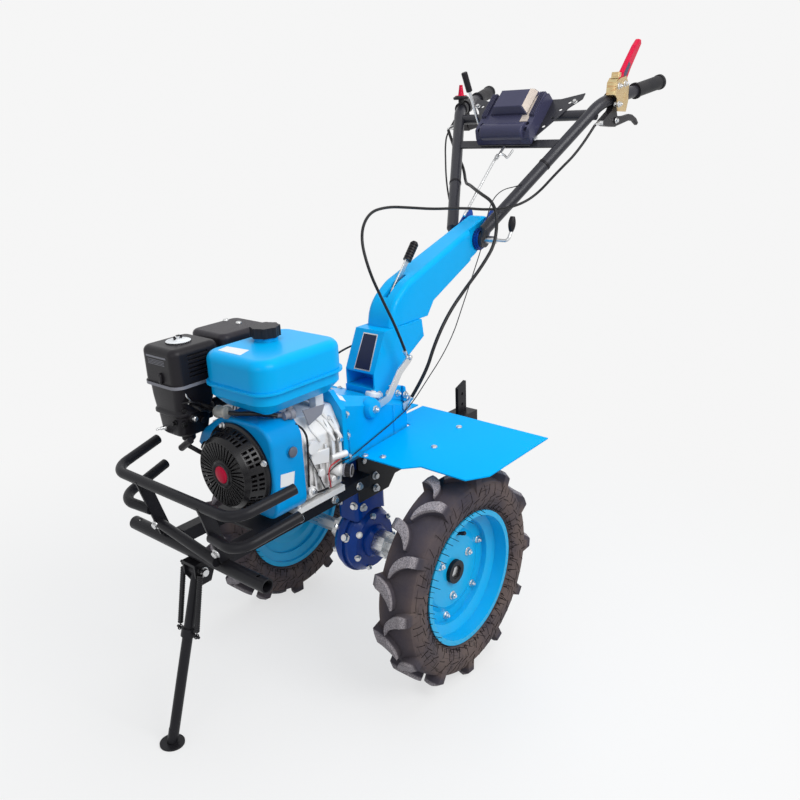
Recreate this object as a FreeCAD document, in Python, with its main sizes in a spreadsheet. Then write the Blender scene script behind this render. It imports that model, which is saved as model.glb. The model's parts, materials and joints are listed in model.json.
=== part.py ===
import FreeCAD, Part
import math
import os
import re
import Sketcher

# Walk-behind power weeder: a two-wheeled tractor with its engine in front, a gearbox column down to
# the axle, a front guard with a folding stand and a handlebar that tilts on a toothed clamp.
#
# Every sub-part is drawn level, in the machine's own axes: origin at the middle of the axle,
# +X forward, +Y to the machine's left, +Z up. The machine parks nose down on its stand, so one
# common placement tips each sub-part about the axle and lifts it onto the ground.

SIZES = {
    # How the machine parks.
    "park_angle": 5.25,
    "axle_from_origin": 157,
    # Wheels.
    "wheel_track_half": 297,
    "tyre_radius": 262,
    "tyre_width": 108,
    "lug_height": 19,
    "lug_count": 12,
    "lug_width": 21,
    "rim_radius": 164,
    "rim_width": 84,
    "rim_wall": 4,
    "rim_well_depth": 22,
    "disc_inset": 30,
    "wheel_bolt_circle": 68,
    "wheel_bolt_hole": 5.5,
    "hub_radius": 29,
    "hub_hex": 32,
    "hub_flange_radius": 52,
    "running_gap": 0.3,
    # Final drive, gear column and gearbox.
    "drive_radius": 84,
    "drive_width": 76,
    "drive_nose": 42,
    "column_length": 108,
    "column_width": 74,
    "gearbox_bottom": 262,
    "gearbox_top": 446,
    "gearbox_front": 152,
    "gearbox_rear": 118,
    "gearbox_width": 176,
    "gearbox_tail_width": 128,
    "gearbox_tail_top": 358,
    "bell_flange": 14,
    "bell_flange_lip": 12,
    # Engine.
    "crank_height": 340,
    "crankcase_length": 132,
    "crankcase_width": 166,
    "crankcase_bottom": 222,
    "crankcase_top": 430,
    "base_flange_length": 150,
    "base_flange_width": 188,
    "base_flange_thick": 14,
    "shroud_depth": 84,
    "shroud_radius": 103,
    "shroud_wall": 3,
    "shroud_rim": 7,
    "recoil_flange_radius": 99,
    "recoil_face_radius": 72,
    "recoil_depth": 48,
    "recoil_slots": 40,
    "recoil_vents": 50,
    "cylinder_angle": 25,
    "cylinder_reach": 182,
    "cylinder_size": 118,
    "fin_count": 7,
    "tank_front": 386,
    "tank_rear": 146,
    "tank_left": 122,
    "tank_right": 74,
    "tank_seam_height": 524,
    "tank_upper_height": 66,
    "tank_lower_height": 52,
    "tank_corner": 42,
    "tank_seam_lip": 6,
    "cap_radius": 33,
    "cap_height": 22,
    "filter_front": 436,
    "filter_length": 122,
    "filter_width": 116,
    "filter_height": 84,
    "filter_bottom": 512,
    "filter_left": 90,
    "muffler_length": 138,
    "muffler_width": 122,
    "muffler_height": 104,
    # Engine frame, guard and stand.
    "frame_rail_height": 30,
    "frame_rail_wall": 4,
    "frame_rail_spread": 72,
    "cross_tube_radius": 15,
    "cross_tube_wall": 3,
    "cross_tube_half": 219,
    "cross_tube_x": 505,
    "cross_tube_z": 199,
    "guard_tube_radius": 11,
    "upright_width": 34,
    "upright_thick": 6,
    "upright_spread": 100,
    "stand_pivot_x": 508,
    "stand_pivot_z": 160,
    "stand_leg_radius": 11,
    "stand_bolt_radius": 5,
    "stand_ear_gap": 32,
    "stand_ear_wall": 5,
    "stand_foot_size": 26,
    "spring_radius": 6,
    "spring_coil": 5,
    "spring_pin_radius": 3,
    "spring_stub": 16,
    # Fenders, hitch and depth bar.
    "fender_height": 282,
    "fender_thick": 3,
    "fender_outer": 398,
    "depth_bar_width": 40,
    "depth_bar_thick": 10,
    "depth_bar_x": 446,
    "hitch_width": 60,
    "hitch_pin_radius": 8,
    # Handlebar column.
    "column_foot_height": 541,
    "seat_wall": 4,
    "seat_width": 92,
    "column_cover_wall": 3,
    "cover_foot_width": 84,
    "cover_head_width": 56,
    "cover_bend": 90,
    "cover_edge": 13,
    "clamp_x": -500,
    "clamp_z": 702,
    "clamp_bolt_radius": 6,
    "clamp_disc_radius": 30,
    "clamp_disc_thick": 8,
    "clamp_teeth": 24,
    "cover_head_round": 22,
    "lever_slot_width": 14,
    "gear_lever_width": 14,
    "gear_lever_thick": 4,
    "gear_pin_radius": 5,
    "knob_radius": 11,
    "knob_rib_pitch": 7.4,
    "crank_sleeve_radius": 10,
    "crank_sleeve_length": 34,
    "crank_rod_radius": 4.5,
    "crank_knob_radius": 10,
    "crank_knob_length": 40,
    # Clutch arm.
    "clutch_pivot_x": 34,
    "clutch_pivot_z": 384,
    "clutch_arm_half": 9,
    "clutch_arm_thick": 5,
    "clutch_boss_radius": 12,
    # Handlebar.
    "handle_tube_radius": 16,
    "handle_tube_wall": 2.5,
    "handle_bend": 90,
    "grip_radius": 17.5,
    "grip_length": 118,
    "clevis_wall": 5,
    "panel_width": 176,
    "panel_thick": 64,
    "panel_plate_thick": 3,
    "panel_side_margin": 22,
    "cross_tube_radius_rear": 14,
    "tube_end_radius": 22,
    "tube_end_thick": 10,
    # Hand controls, placed along each handle tube from its bend.
    "hand_lever_at": 38,
    "hand_clamp_radius": 21,
    "hand_clamp_length": 22,
    "release_ring_at": 62,
    "release_ring_radius": 24,
    "release_ring_length": 20,
    "release_plate_wall": 3,
    "release_lever_thick": 14,
    "throttle_ring_at": 8,
    "throttle_ring_radius": 20,
    "throttle_ring_length": 16,
    "control_clearance": 0.1,
    # Cables.
    "drive_cable_across": 9,
    "clutch_cable_across": 7,
    "throttle_cable_across": 5,
    "least_cable_bend": 5,
}

document = FreeCAD.newDocument("PowerWeeder")
sheet = document.addObject("Spreadsheet::Sheet", "Sizes")
for row, (alias, size) in enumerate(SIZES.items(), start=1):
    sheet.set(f"A{row}", alias)
    sheet.set(f"B{row}", str(size))
    sheet.setAlias(f"B{row}", alias)
document.recompute()

WORD = re.compile(r"[a-z][a-z_]+")
AXIS_OF_PLANE = {"XY": "z", "XZ": "y", "YZ": "x"}
PLANE_LOOKS_BACK = {"XY": False, "XZ": True, "YZ": False}


def cells(formula):
    """A formula of size names, written for setExpression."""
    return WORD.sub(lambda word: f"Sizes.{word.group()}", str(formula))


def number(formula):
    """The value of a formula of size names, in millimetres or degrees."""
    plain = WORD.sub(lambda word: f"({SIZES[word.group()]})", str(formula))
    return FreeCAD.Units.Quantity(plain).Value


def point(*formulas):
    """A vector from three formulas."""
    return FreeCAD.Vector(*[number(formula) for formula in formulas])


def parked():
    """The placement that sets the level machine down as it parks."""
    tip = FreeCAD.Rotation(FreeCAD.Vector(0, 1, 0), number("park_angle"))
    axle = FreeCAD.Vector(number("axle_from_origin"), 0, number("tyre_radius"))
    return FreeCAD.Placement(axle, tip)


PARKED = parked()
finished = []


def finish(sub_part, label):
    """Names a finished sub-part and sets it down with the rest of the machine."""
    sub_part.Label = label
    sub_part.Placement = PARKED.multiply(sub_part.Placement)
    finished.append(sub_part)
    return sub_part


# ---- Part Design helpers ----------------------------------------------------------------------

def new_body(name):
    """An empty Part Design body."""
    return document.addObject("PartDesign::Body", name)


def new_sketch(body, plane, height="0"):
    """A sketch on one of the body's own planes, moved to a height along that plane's axis."""
    sketch = body.newObject("Sketcher::SketchObject", body.Name + "_outline")
    origin = [item for item in body.Origin.OriginFeatures if item.Role == plane + "_Plane"][0]
    sketch.AttachmentSupport = [(origin, "")]
    sketch.MapMode = "FlatFace"
    sign = "-" if PLANE_LOOKS_BACK[plane] else ""
    sketch.setExpression("AttachmentOffset.Base.z", cells(f"{sign}({height})"))
    return sketch


def pin_vertex(sketch, edge, end, across, up):
    """Ties one end of a sketch edge to the sheet by its two distances from the origin."""
    for kind, formula in (("DistanceX", across), ("DistanceY", up)):
        rule = Sketcher.Constraint(kind, -1, 1, edge, end, number(formula))
        index = sketch.addConstraint(rule)
        sketch.setExpression(f"Constraints[{index}]", cells(formula))


def draw_outline(sketch, corners):
    """A closed outline of straight edges through the corners, each tied to the sheet."""
    count = len(corners)
    first = sketch.GeometryCount
    spots = [FreeCAD.Vector(number(across), number(up), 0) for across, up in corners]
    for index, spot in enumerate(spots):
        sketch.addGeometry(Part.LineSegment(spot, spots[(index + 1) % count]))
    for index in range(count):
        following = first + (index + 1) % count
        sketch.addConstraint(Sketcher.Constraint("Coincident", first + index, 2, following, 1))
    for index, (across, up) in enumerate(corners):
        pin_vertex(sketch, first + index, 1, across, up)


def draw_circle(sketch, across, up, radius):
    """A circle tied to the sheet by its centre and radius."""
    centre = FreeCAD.Vector(number(across), number(up), 0)
    edge = sketch.addGeometry(Part.Circle(centre, FreeCAD.Vector(0, 0, 1), number(radius)))
    pin_vertex(sketch, edge, 3, across, up)
    index = sketch.addConstraint(Sketcher.Constraint("Radius", edge, number(radius)))
    sketch.setExpression(f"Constraints[{index}]", cells(radius))


def extrude(body, plane, low, high, corners=None, circles=()):
    """A pad between two heights along the plane's axis, of an outline with round holes."""
    backwards = PLANE_LOOKS_BACK[plane]
    sketch = new_sketch(body, plane, high if backwards else low)
    if corners:
        draw_outline(sketch, corners)
    for across, up, radius in circles:
        draw_circle(sketch, across, up, radius)
    pad = body.newObject("PartDesign::Pad", body.Name + "_pad")
    pad.Profile = sketch
    pad.setExpression("Length", cells(f"({high}) - ({low})"))
    document.recompute()
    return pad


def cut_through(body, plane, corners=None, circles=()):
    """A pocket right through the body, both ways from its middle plane."""
    sketch = new_sketch(body, plane)
    if corners:
        draw_outline(sketch, corners)
    for across, up, radius in circles:
        draw_circle(sketch, across, up, radius)
    pocket = body.newObject("PartDesign::Pocket", body.Name + "_pocket")
    pocket.Profile = sketch
    pocket.Type = "ThroughAll"
    pocket.Midplane = True
    document.recompute()
    return pocket


def turn(body, plane, corners, axis):
    """A revolution of an outline about one of its sketch's own axes."""
    sketch = new_sketch(body, plane)
    draw_outline(sketch, corners)
    revolution = body.newObject("PartDesign::Revolution", body.Name + "_turned")
    revolution.Profile = sketch
    revolution.ReferenceAxis = (sketch, [axis])
    revolution.Angle = 360
    document.recompute()
    return revolution


def edges_where(shape, test):
    """The names of the edges that pass a test."""
    return [f"Edge{index}" for index, edge in enumerate(shape.Edges, start=1) if test(edge)]


def runs_along(axis):
    """A test for straight edges that run along an axis."""
    direction = {"x": FreeCAD.Vector(1, 0, 0), "y": FreeCAD.Vector(0, 1, 0),
                 "z": FreeCAD.Vector(0, 0, 1)}[axis]

    def test(edge):
        straight = edge.Curve.TypeId == "Part::GeomLine"
        return straight and abs(abs(edge.Curve.Direction.dot(direction)) - 1) < 1e-6
    return test


def round_edges(body, test, radius):
    """A fillet on the edges of the body's tip that pass a test."""
    base = body.Tip
    fillet = body.newObject("PartDesign::Fillet", body.Name + "_fillet")
    fillet.Base = (base, edges_where(base.Shape, test))
    fillet.setExpression("Radius", cells(radius))
    document.recompute()
    return fillet


# ---- Part workbench helpers -------------------------------------------------------------------

def box(name, low, high):
    """A block between two corners given as formulas."""
    block = document.addObject("Part::Box", name)
    for prop, axis in (("Length", 0), ("Width", 1), ("Height", 2)):
        block.setExpression(prop, cells(f"({high[axis]}) - ({low[axis]})"))
    for prop, formula in zip("xyz", low):
        block.setExpression(f"Placement.Base.{prop}", cells(formula))
    return block


TURN_TO = {"x": FreeCAD.Rotation(FreeCAD.Vector(0, 1, 0), 90),
           "y": FreeCAD.Rotation(FreeCAD.Vector(1, 0, 0), -90),
           "z": FreeCAD.Rotation()}


def rod(name, axis, start, length, radius):
    """A round bar along an axis, from a starting point."""
    bar = document.addObject("Part::Cylinder", name)
    bar.Placement = FreeCAD.Placement(FreeCAD.Vector(), TURN_TO[axis])
    bar.setExpression("Radius", cells(radius))
    bar.setExpression("Height", cells(length))
    for prop, formula in zip("xyz", start):
        bar.setExpression(f"Placement.Base.{prop}", cells(formula))
    return bar


def fuse(name, pieces):
    """One solid from several."""
    joined = document.addObject("Part::MultiFuse", name)
    joined.Shapes = pieces
    joined.Refine = True
    return joined


def cut(name, base, tools):
    """A piece less its tools."""
    tool = tools[0] if len(tools) == 1 else fuse(name + "_tools", tools)
    rest = document.addObject("Part::Cut", name)
    rest.Base = base
    rest.Tool = tool
    rest.Refine = True
    return rest


def common(name, pieces):
    """What several solids share."""
    shared = document.addObject("Part::MultiCommon", name)
    shared.Shapes = pieces
    return shared


def shaped(name, shape):
    """A plain feature that holds a shape made with Part's own functions."""
    feature = document.addObject("Part::Feature", name)
    feature.Shape = shape
    return feature


def bent_path(spots, bend):
    """Straight runs through the spots, joined by tangent arcs of one bend radius."""
    edges = []
    start = spots[0]
    for before, corner, after in zip(spots, spots[1:], spots[2:]):
        inward = (before - corner).normalize()
        outward = (after - corner).normalize()
        half = inward.getAngle(outward) / 2
        reach = bend / math.tan(half)
        middle = (inward + outward).normalize()
        first = corner + inward * reach
        last = corner + outward * reach
        crown = corner + middle * (bend / math.sin(half) - bend)
        edges.append(Part.LineSegment(start, first).toShape())
        edges.append(Part.Arc(first, crown, last).toShape())
        start = last
    edges.append(Part.LineSegment(start, spots[-1]).toShape())
    return Part.Wire(edges)


def swept(path, radius, inner=0):
    """A round bar, or a tube where an inner radius is given, along a path."""
    start = path.Edges[0]
    way = start.tangentAt(start.FirstParameter)
    spot = start.valueAt(start.FirstParameter)
    ring = Part.Wire([Part.Circle(spot, way, radius).toShape()])
    solid = path.makePipeShell([ring], True, False)
    if inner:
        bore = Part.Wire([Part.Circle(spot, way, inner).toShape()])
        solid = solid.cut(path.makePipeShell([bore], True, False))
    return solid


def mirrored(spots):
    """The same points on the machine's other side."""
    return [FreeCAD.Vector(spot.x, -spot.y, spot.z) for spot in spots]


def turned_about_axle(shape, degrees):
    """A copy of a shape, turned about the axle."""
    copy = shape.copy()
    copy.rotate(FreeCAD.Vector(), FreeCAD.Vector(0, 1, 0), degrees)
    return copy


# ---- Wheels -----------------------------------------------------------------------------------

def wheel_outline(side, corners):
    """Corners given as radius and distance outboard of the tyre's middle plane."""
    return [(radius, f"{side} * (wheel_track_half + ({out}))") for radius, out in corners]


def make_tyre(side, label):
    """The carcass with two rows of curved lugs, left and right, half a pitch apart."""
    middle = side * number("wheel_track_half")
    half = number("tyre_width") / 2
    seat = number("rim_radius - 8 + running_gap")
    bead = number("rim_width / 2 - rim_wall - running_gap")
    tread = number("tyre_radius - lug_height")
    shoulder = tread - 9
    widest = (seat + tread) / 2 + 4

    def at(radius, out):
        return FreeCAD.Vector(radius, middle + out, 0)

    def wall(way):
        foot = at(number("rim_radius + 4"), way * bead)
        return Part.Arc(foot, at(widest, way * half), at(shoulder, way * (half - 10))).toShape()

    edges = [
        Part.LineSegment(at(seat, -bead), at(number("rim_radius + 4"), -bead)).toShape(),
        wall(-1),
        Part.Arc(at(shoulder, 10 - half), at(tread, 0), at(shoulder, half - 10)).toShape(),
        wall(1),
        Part.LineSegment(at(number("rim_radius + 4"), bead), at(seat, bead)).toShape(),
        Part.LineSegment(at(seat, bead), at(seat, -bead)).toShape(),
    ]
    profile = Part.Face(Part.Wire(Part.__sortEdges__(edges)))
    carcass = profile.revolve(FreeCAD.Vector(), FreeCAD.Vector(0, 1, 0), 360)

    tip = number("tyre_radius")
    count = int(number("lug_count"))
    lugs = []
    for row, phase in ((1, 0), (-1, 0.5)):
        outline = [(tread - 18, -9), (tip, -9), (tip, half - 18), (tip - 11, half - 2),
                   (shoulder - 18, half - 1), (shoulder - 18, half - 14)]
        corners = [at(radius, row * out) for radius, out in outline]
        envelope = Part.Face(Part.makePolygon(corners + corners[:1]))
        ring = envelope.revolve(FreeCAD.Vector(), FreeCAD.Vector(0, 1, 0), 360)
        lug = ring.common(lug_prism(middle, row))
        for index in range(count):
            lugs.append(turned_about_axle(lug, 360 / count * (index + phase)))
    tyre = carcass.multiFuse(lugs).removeSplitter()
    return finish(shaped(label, tyre), label)


def lug_prism(middle, row):
    """An upright block with a lug's curved outline, over the lowest point of the wheel."""
    width = number("lug_width")
    reach = number("tyre_width / 2 + 6")
    low = -number("tyre_radius + 8")

    def spot(along, out):
        return FreeCAD.Vector(along, middle + row * out, low)

    edges = [
        Part.Arc(spot(-30, -9), spot(-4, 12), spot(8, reach)).toShape(),
        Part.LineSegment(spot(8, reach), spot(8 + width, reach)).toShape(),
        Part.Arc(spot(8 + width, reach), spot(-2 + width, 8), spot(-30 + 6, -9)).toShape(),
        Part.LineSegment(spot(-30 + 6, -9), spot(-30, -9)).toShape(),
    ]
    outline = Part.Face(Part.Wire(edges))
    return outline.extrude(FreeCAD.Vector(0, 0, 60))


def make_rim(side, label):
    """A well-base rim in one turning with its dished disc."""
    lip = "rim_width / 2"
    seat = "rim_radius - 8"
    well = "rim_radius - 8 - rim_well_depth"
    corners = wheel_outline(side, [
        ("rim_radius", f"-{lip}"),
        ("rim_radius", f"-{lip} + rim_wall"),
        (seat, f"-{lip} + rim_wall"),
        (seat, "-32"),
        (well, "-26"),
        (well, "-2"),
        (seat, "6"),
        (seat, f"{lip} - rim_wall"),
        ("rim_radius", f"{lip} - rim_wall"),
        ("rim_radius", lip),
        (f"{seat} - rim_wall", lip),
        (f"{seat} - rim_wall", "8"),
        (f"{well} - rim_wall", "-2"),
        (f"{well} - rim_wall", "-16"),
        ("104", "-16"),
        ("90", "-10"),
        ("hub_radius + running_gap", "-10"),
        ("hub_radius + running_gap", "-15"),
        ("88", "-15"),
        ("102", "-21"),
        (f"{well} - rim_wall", "-21"),
        (f"{well} - rim_wall", "-28"),
        (f"{seat} - rim_wall", "-34"),
        (f"{seat} - rim_wall", f"-{lip}"),
    ])
    body = new_body(label)
    turn(body, "XY", corners, "V_Axis")
    return finish(body, label)


def hexagon(flats, across="0", up="0"):
    """The corners of a hexagon by its width across flats."""
    corners = []
    for along, rise in ((1, 0), (0.5, 0.8660254), (-0.5, 0.8660254),
                        (-1, 0), (-0.5, -0.8660254), (0.5, -0.8660254)):
        size = f"({flats}) / 1.7320508"
        corners.append((f"{across} + {along} * {size}", f"{up} + {rise} * {size}"))
    return corners


def make_hub(side, label):
    """The flanged hub tube with its hexagonal bore."""
    body = new_body(label)
    turn(body, "XY", wheel_outline(side, [
        ("0", "-74"),
        ("hub_radius", "-74"),
        ("hub_radius", "-15 - 6 - running_gap"),
        ("hub_flange_radius", "-15 - 6 - running_gap"),
        ("hub_flange_radius", "-15 - running_gap"),
        ("hub_radius", "-15 - running_gap"),
        ("hub_radius", "0"),
        ("0", "0"),
    ]), "V_Axis")
    cut_through(body, "XZ", hexagon("hub_hex"))
    return finish(body, label)


def make_axle(side, label):
    """The hexagonal output shaft with the large hexagon that joins it to the final drive."""
    inner = f"{side} * (drive_width / 2 + 14 + running_gap)"
    shaft = new_body(label + "_bar")
    ends = sorted(((number(inner), inner), (number(f"{side} * 290"), f"{side} * 290")))
    extrude(shaft, "XZ", ends[0][1], ends[1][1], hexagon("hub_hex - 0.6"))
    collar = new_body(label + "_collar")
    ends = sorted(((number(inner), inner), (number(f"{inner} + {side} * 34"), f"{inner} + {side} * 34")))
    extrude(collar, "XZ", ends[0][1], ends[1][1], hexagon("58"))
    start = "drive_width / 2 - 8" if side > 0 else "-(drive_width / 2 - 8) - 30"
    journal = rod(label + "_journal", "y", ("0", start, "0"), "30", "16")
    return finish(fuse(label, [shaft, collar, journal]), label)


def make_wheels():
    """Both wheels with their output shafts."""
    for side, name in ((1, "left"), (-1, "right")):
        make_tyre(side, name + "_tyre")
        make_rim(side, name + "_rim")
        make_hub(side, name + "_hub")
        make_axle(side, name + "_axle")


# ---- Transmission -----------------------------------------------------------------------------

GEARBOX_TAPER = "(gearbox_rear + gearbox_front - bell_flange)"


def gearbox_wall(along):
    """The gearbox's half width at a distance forward of the axle."""
    return (f"gearbox_tail_width / 2 + (gearbox_width - gearbox_tail_width) / 2"
            f" * ({along} + gearbox_rear) / {GEARBOX_TAPER}")


def gearbox_roof(along):
    """The height of the gearbox's sloping top at a distance forward of the axle."""
    return (f"gearbox_tail_top + (gearbox_top - gearbox_tail_top)"
            f" * ({along} + gearbox_rear) / {GEARBOX_TAPER}")


def make_final_drive():
    """The bolted two-part case around the axle, with a nose on each side."""
    half = "drive_width / 2"
    body = new_body("final_drive_case")
    turn(body, "XY", [
        ("0", f"-{half} - 14"),
        ("drive_nose - 6", f"-{half} - 14"),
        ("drive_nose", f"-{half} - 6"),
        ("drive_nose + 2", f"-{half}"),
        ("drive_radius - 14", f"-{half}"),
        ("drive_radius", f"-{half} + 18"),
        ("drive_radius", "-5"),
        ("drive_radius + 6", "-5"),
        ("drive_radius + 6", "5"),
        ("drive_radius", "5"),
        ("drive_radius", f"{half} - 18"),
        ("drive_radius - 14", half),
        ("drive_nose + 2", half),
        ("drive_nose", f"{half} + 6"),
        ("drive_nose - 6", f"{half} + 14"),
        ("0", f"{half} + 14"),
    ], "V_Axis")
    cut_through(body, "XZ", circles=[("0", "0", "16.1")])
    core = rod("drive_core", "y", ("0", "-drive_width / 2 + 9", "0"), "drive_width - 18", "24")
    return finish(fuse("final_drive", [body, core]), "final_drive")


def make_gear_column():
    """The casting between the gearbox and the final drive."""
    front = "column_length / 2"
    side = "column_width / 2"
    body = new_body("gear_column_casting")
    extrude(body, "XY", "40", "gearbox_bottom - running_gap",
            [(f"-{front}", f"-{side}"), (front, f"-{side}"), (front, side), (f"-{front}", side)])
    round_edges(body, runs_along("z"), "16")
    room = rod("drive_room", "y", ("0", "-60", "0"), "120", "drive_radius + 6 + running_gap")
    return finish(cut("gear_column", body, [room]), "gear_column")


def make_gearbox():
    """The bell housing and gearbox in one casting, tapering to the rear."""
    body = new_body("gearbox_casting")
    sections = []
    for at, half_width, low, high, corner in (
            ("gearbox_front - bell_flange", "gearbox_width / 2", "gearbox_bottom", "gearbox_top", "24"),
            ("-gearbox_rear", "gearbox_tail_width / 2", "gearbox_bottom", "gearbox_tail_top", "14")):
        sketch = new_sketch(body, "YZ", at)
        draw_outline(sketch, [
            (f"-({half_width})", f"{low} + {corner}"), (f"-({half_width}) + {corner}", low),
            (f"{half_width} - {corner}", low), (half_width, f"{low} + {corner}"),
            (half_width, f"{high} - {corner}"), (f"{half_width} - {corner}", high),
            (f"-({half_width}) + {corner}", high), (f"-({half_width})", f"{high} - {corner}")])
        sections.append(sketch)
    loft = body.newObject("PartDesign::AdditiveLoft", "gearbox_loft")
    loft.Profile = sections[0]
    loft.Sections = sections[1:]
    loft.Ruled = True
    document.recompute()
    lip = "bell_flange_lip"
    wide = f"gearbox_width / 2 + {lip}"
    extrude(body, "YZ", "gearbox_front - bell_flange", "gearbox_front", [
        (f"-({wide})", "gearbox_bottom + 30"), (f"-({wide}) + 34", f"gearbox_bottom - {lip}"),
        (f"{wide} - 34", f"gearbox_bottom - {lip}"), (wide, "gearbox_bottom + 30"),
        (wide, "gearbox_top - 26"), (f"{wide} - 34", f"gearbox_top + {lip}"),
        (f"-({wide}) + 34", f"gearbox_top + {lip}"), (f"-({wide})", "gearbox_top - 26")])
    return finish(body, "gearbox")


# ---- Engine -----------------------------------------------------------------------------------

def make_crankcase():
    """The cast crankcase on its mounting flange, with its joint flanges, ribs, bosses and oil filler."""
    front = "gearbox_front + crankcase_length"
    half = "crankcase_width / 2"
    body = new_body("crankcase_casting")
    extrude(body, "YZ", "gearbox_front + running_gap", front, [
        (f"-{half}", "crankcase_bottom + base_flange_thick"),
        (half, "crankcase_bottom + base_flange_thick"),
        (f"{half} + 8", "crankcase_bottom + 60"),
        (f"{half} + 8", "crankcase_top - 50"),
        (f"{half} - 16", "crankcase_top"),
        (f"-{half} + 60", "crankcase_top"),
        (f"-{half}", "crankcase_top - 40"),
    ])
    round_edges(body, runs_along("x"), "9")
    extrude(body, "XY", "crankcase_bottom", "crankcase_bottom + base_flange_thick", [
        ("gearbox_front + running_gap", "-base_flange_width / 2"),
        ("gearbox_front + base_flange_length", "-base_flange_width / 2"),
        ("gearbox_front + base_flange_length", "base_flange_width / 2"),
        ("gearbox_front + running_gap", "base_flange_width / 2"),
    ])
    pieces = []
    for index in range(4):
        start = f"gearbox_front + 50 + {index} * 19"
        pieces.append(box(f"crankcase_rib_{index}", (start, f"{half} + 4", "crankcase_bottom + 34"),
                          (f"{start} + 5", f"{half} + 13", f"crankcase_top - 74 - {index} * 10")))
    for name, start in (("rear", "gearbox_front + 8"), ("joint", "gearbox_front + 30")):
        flange = rod(f"crankcase_flange_{name}", "x", (start, "0", "crank_height"), "8", f"{half} + 20")
        limit = box(f"crankcase_flange_limit_{name}", (start, f"-{half} + 20", "crankcase_bottom + 5"),
                    (f"{start} + 8", f"{half} + 18", "crankcase_top + 8"))
        pieces.append(common(f"crankcase_joint_{name}", [flange, limit]))
    pieces.append(rod("governor_boss", "y",
                      ("gearbox_front + 96", f"{half} + 2", "crankcase_top - 66"), "18", "15"))
    pieces.append(rod("oil_filler", "y",
                      ("gearbox_front + 112", f"{half} + 2", "crankcase_bottom + 46"), "22", "12"))
    pieces += [box(f"tank_post_{index}", ("gearbox_front + 20", across, "crank_height"),
                   ("gearbox_front + 44", f"{across} + 20",
                    "tank_seam_height - tank_lower_height - running_gap"))
               for index, across in enumerate(("-20", "46"))]
    return finish(fuse("crankcase", [body] + pieces), "crankcase")


def make_cylinder():
    """The finned cylinder and head, laid over to the machine's right."""
    size = number("cylinder_size")
    reach = number("cylinder_reach")
    start = number("crankcase_width / 2 + running_gap")
    middle = number("gearbox_front + crankcase_length / 2 - 4")
    centre = FreeCAD.Vector(middle, 0, number("crank_height"))
    blocks = []
    pitch = (reach - start - 34) / number("fin_count")
    for index in range(int(number("fin_count"))):
        low = start + index * pitch
        blocks.append(Part.makeBox(size, size, 5, FreeCAD.Vector(-size / 2, -size / 2, low)))
    core = size - 30
    blocks.append(Part.makeBox(core, core, reach - start, FreeCAD.Vector(-core / 2, -core / 2, start)))
    head = Part.makeBox(size, size, 30, FreeCAD.Vector(-size / 2, -size / 2, reach - 34))
    cover = Part.makeBox(size - 26, size - 20, 26, FreeCAD.Vector(13 - size / 2, 10 - size / 2, reach - 4))
    plug = Part.makeCylinder(9, 34, FreeCAD.Vector(size / 2 - 4, -size / 4, reach - 20),
                             FreeCAD.Vector(1, 0, 0))
    blocks += [head, cover, plug]
    solid = blocks[0].multiFuse(blocks[1:]).removeSplitter()
    solid.rotate(FreeCAD.Vector(), FreeCAD.Vector(1, 0, 0), 90 - number("cylinder_angle"))
    solid.translate(centre)
    limit = Part.makeBox(400, 400, 600, FreeCAD.Vector(0, -400 - start, 0))
    solid = solid.common(limit)
    finish(shaped("cylinder", solid), "cylinder")
    return solid


def make_fan_shroud():
    """The pressed steel fan housing, square at the foot and carried up to the cylinder at the right."""
    rear = "gearbox_front + crankcase_length + running_gap"
    front = "gearbox_front + crankcase_length + running_gap + shroud_depth"
    low = number("crank_height")
    radius = number("shroud_radius")
    left = radius + 5
    right = -radius - 38
    top = radius + 5
    corner = 34
    shoulder = 46

    def at(across, up):
        return FreeCAD.Vector(number(rear), across, low + up)

    outline = Part.Wire([
        Part.LineSegment(at(left, 0), at(left, corner - radius)).toShape(),
        Part.Arc(at(left, corner - radius), at(left - corner * 0.293, corner * 0.293 - radius),
                 at(left - corner, -radius)).toShape(),
        Part.LineSegment(at(left - corner, -radius), at(0, -radius)).toShape(),
        Part.Arc(at(0, -radius), at(-radius * 0.74, -radius * 0.66), at(-radius, -4)).toShape(),
        Part.LineSegment(at(-radius, -4), at(right, 24)).toShape(),
        Part.LineSegment(at(right, 24), at(right + 18, 56)).toShape(),
        Part.LineSegment(at(right + 18, 56), at(-44, top)).toShape(),
        Part.LineSegment(at(-44, top), at(left - shoulder, top)).toShape(),
        Part.Arc(at(left - shoulder, top), at(left - shoulder * 0.293, top - shoulder * 0.293),
                 at(left, top - shoulder)).toShape(),
        Part.LineSegment(at(left, top - shoulder), at(left, 0)).toShape(),
    ])
    shell = Part.Face(outline).extrude(FreeCAD.Vector(number("shroud_depth"), 0, 0))
    rim = [edge for edge in shell.Edges if edge.BoundBox.XMin > number(front) - 1]
    shell = shell.makeFillet(number("shroud_rim"), rim)
    wall = number("shroud_wall")
    room = Part.Face(outline).makeOffset2D(-wall).extrude(FreeCAD.Vector(number("shroud_depth") - 2 * wall, 0,
                                                                         0))
    room.translate(FreeCAD.Vector(wall, 0, 0))
    plug_at = FreeCAD.Vector(number(front) - 52, left - 1.5, low + 42)
    plug = Part.makeCylinder(13, 3.5, plug_at, FreeCAD.Vector(0, 1, 0)).fuse(
        Part.makeCylinder(9, 6.5, plug_at, FreeCAD.Vector(0, 1, 0)))
    mouth = Part.makeCylinder(number("recoil_flange_radius") - 12, 60,
                              FreeCAD.Vector(number(front) - 30, 0, low), FreeCAD.Vector(1, 0, 0))
    hollow = shell.cut(room).cut(mouth).fuse(plug)
    return finish(shaped("fan_shroud", hollow), "fan_shroud")


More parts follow.
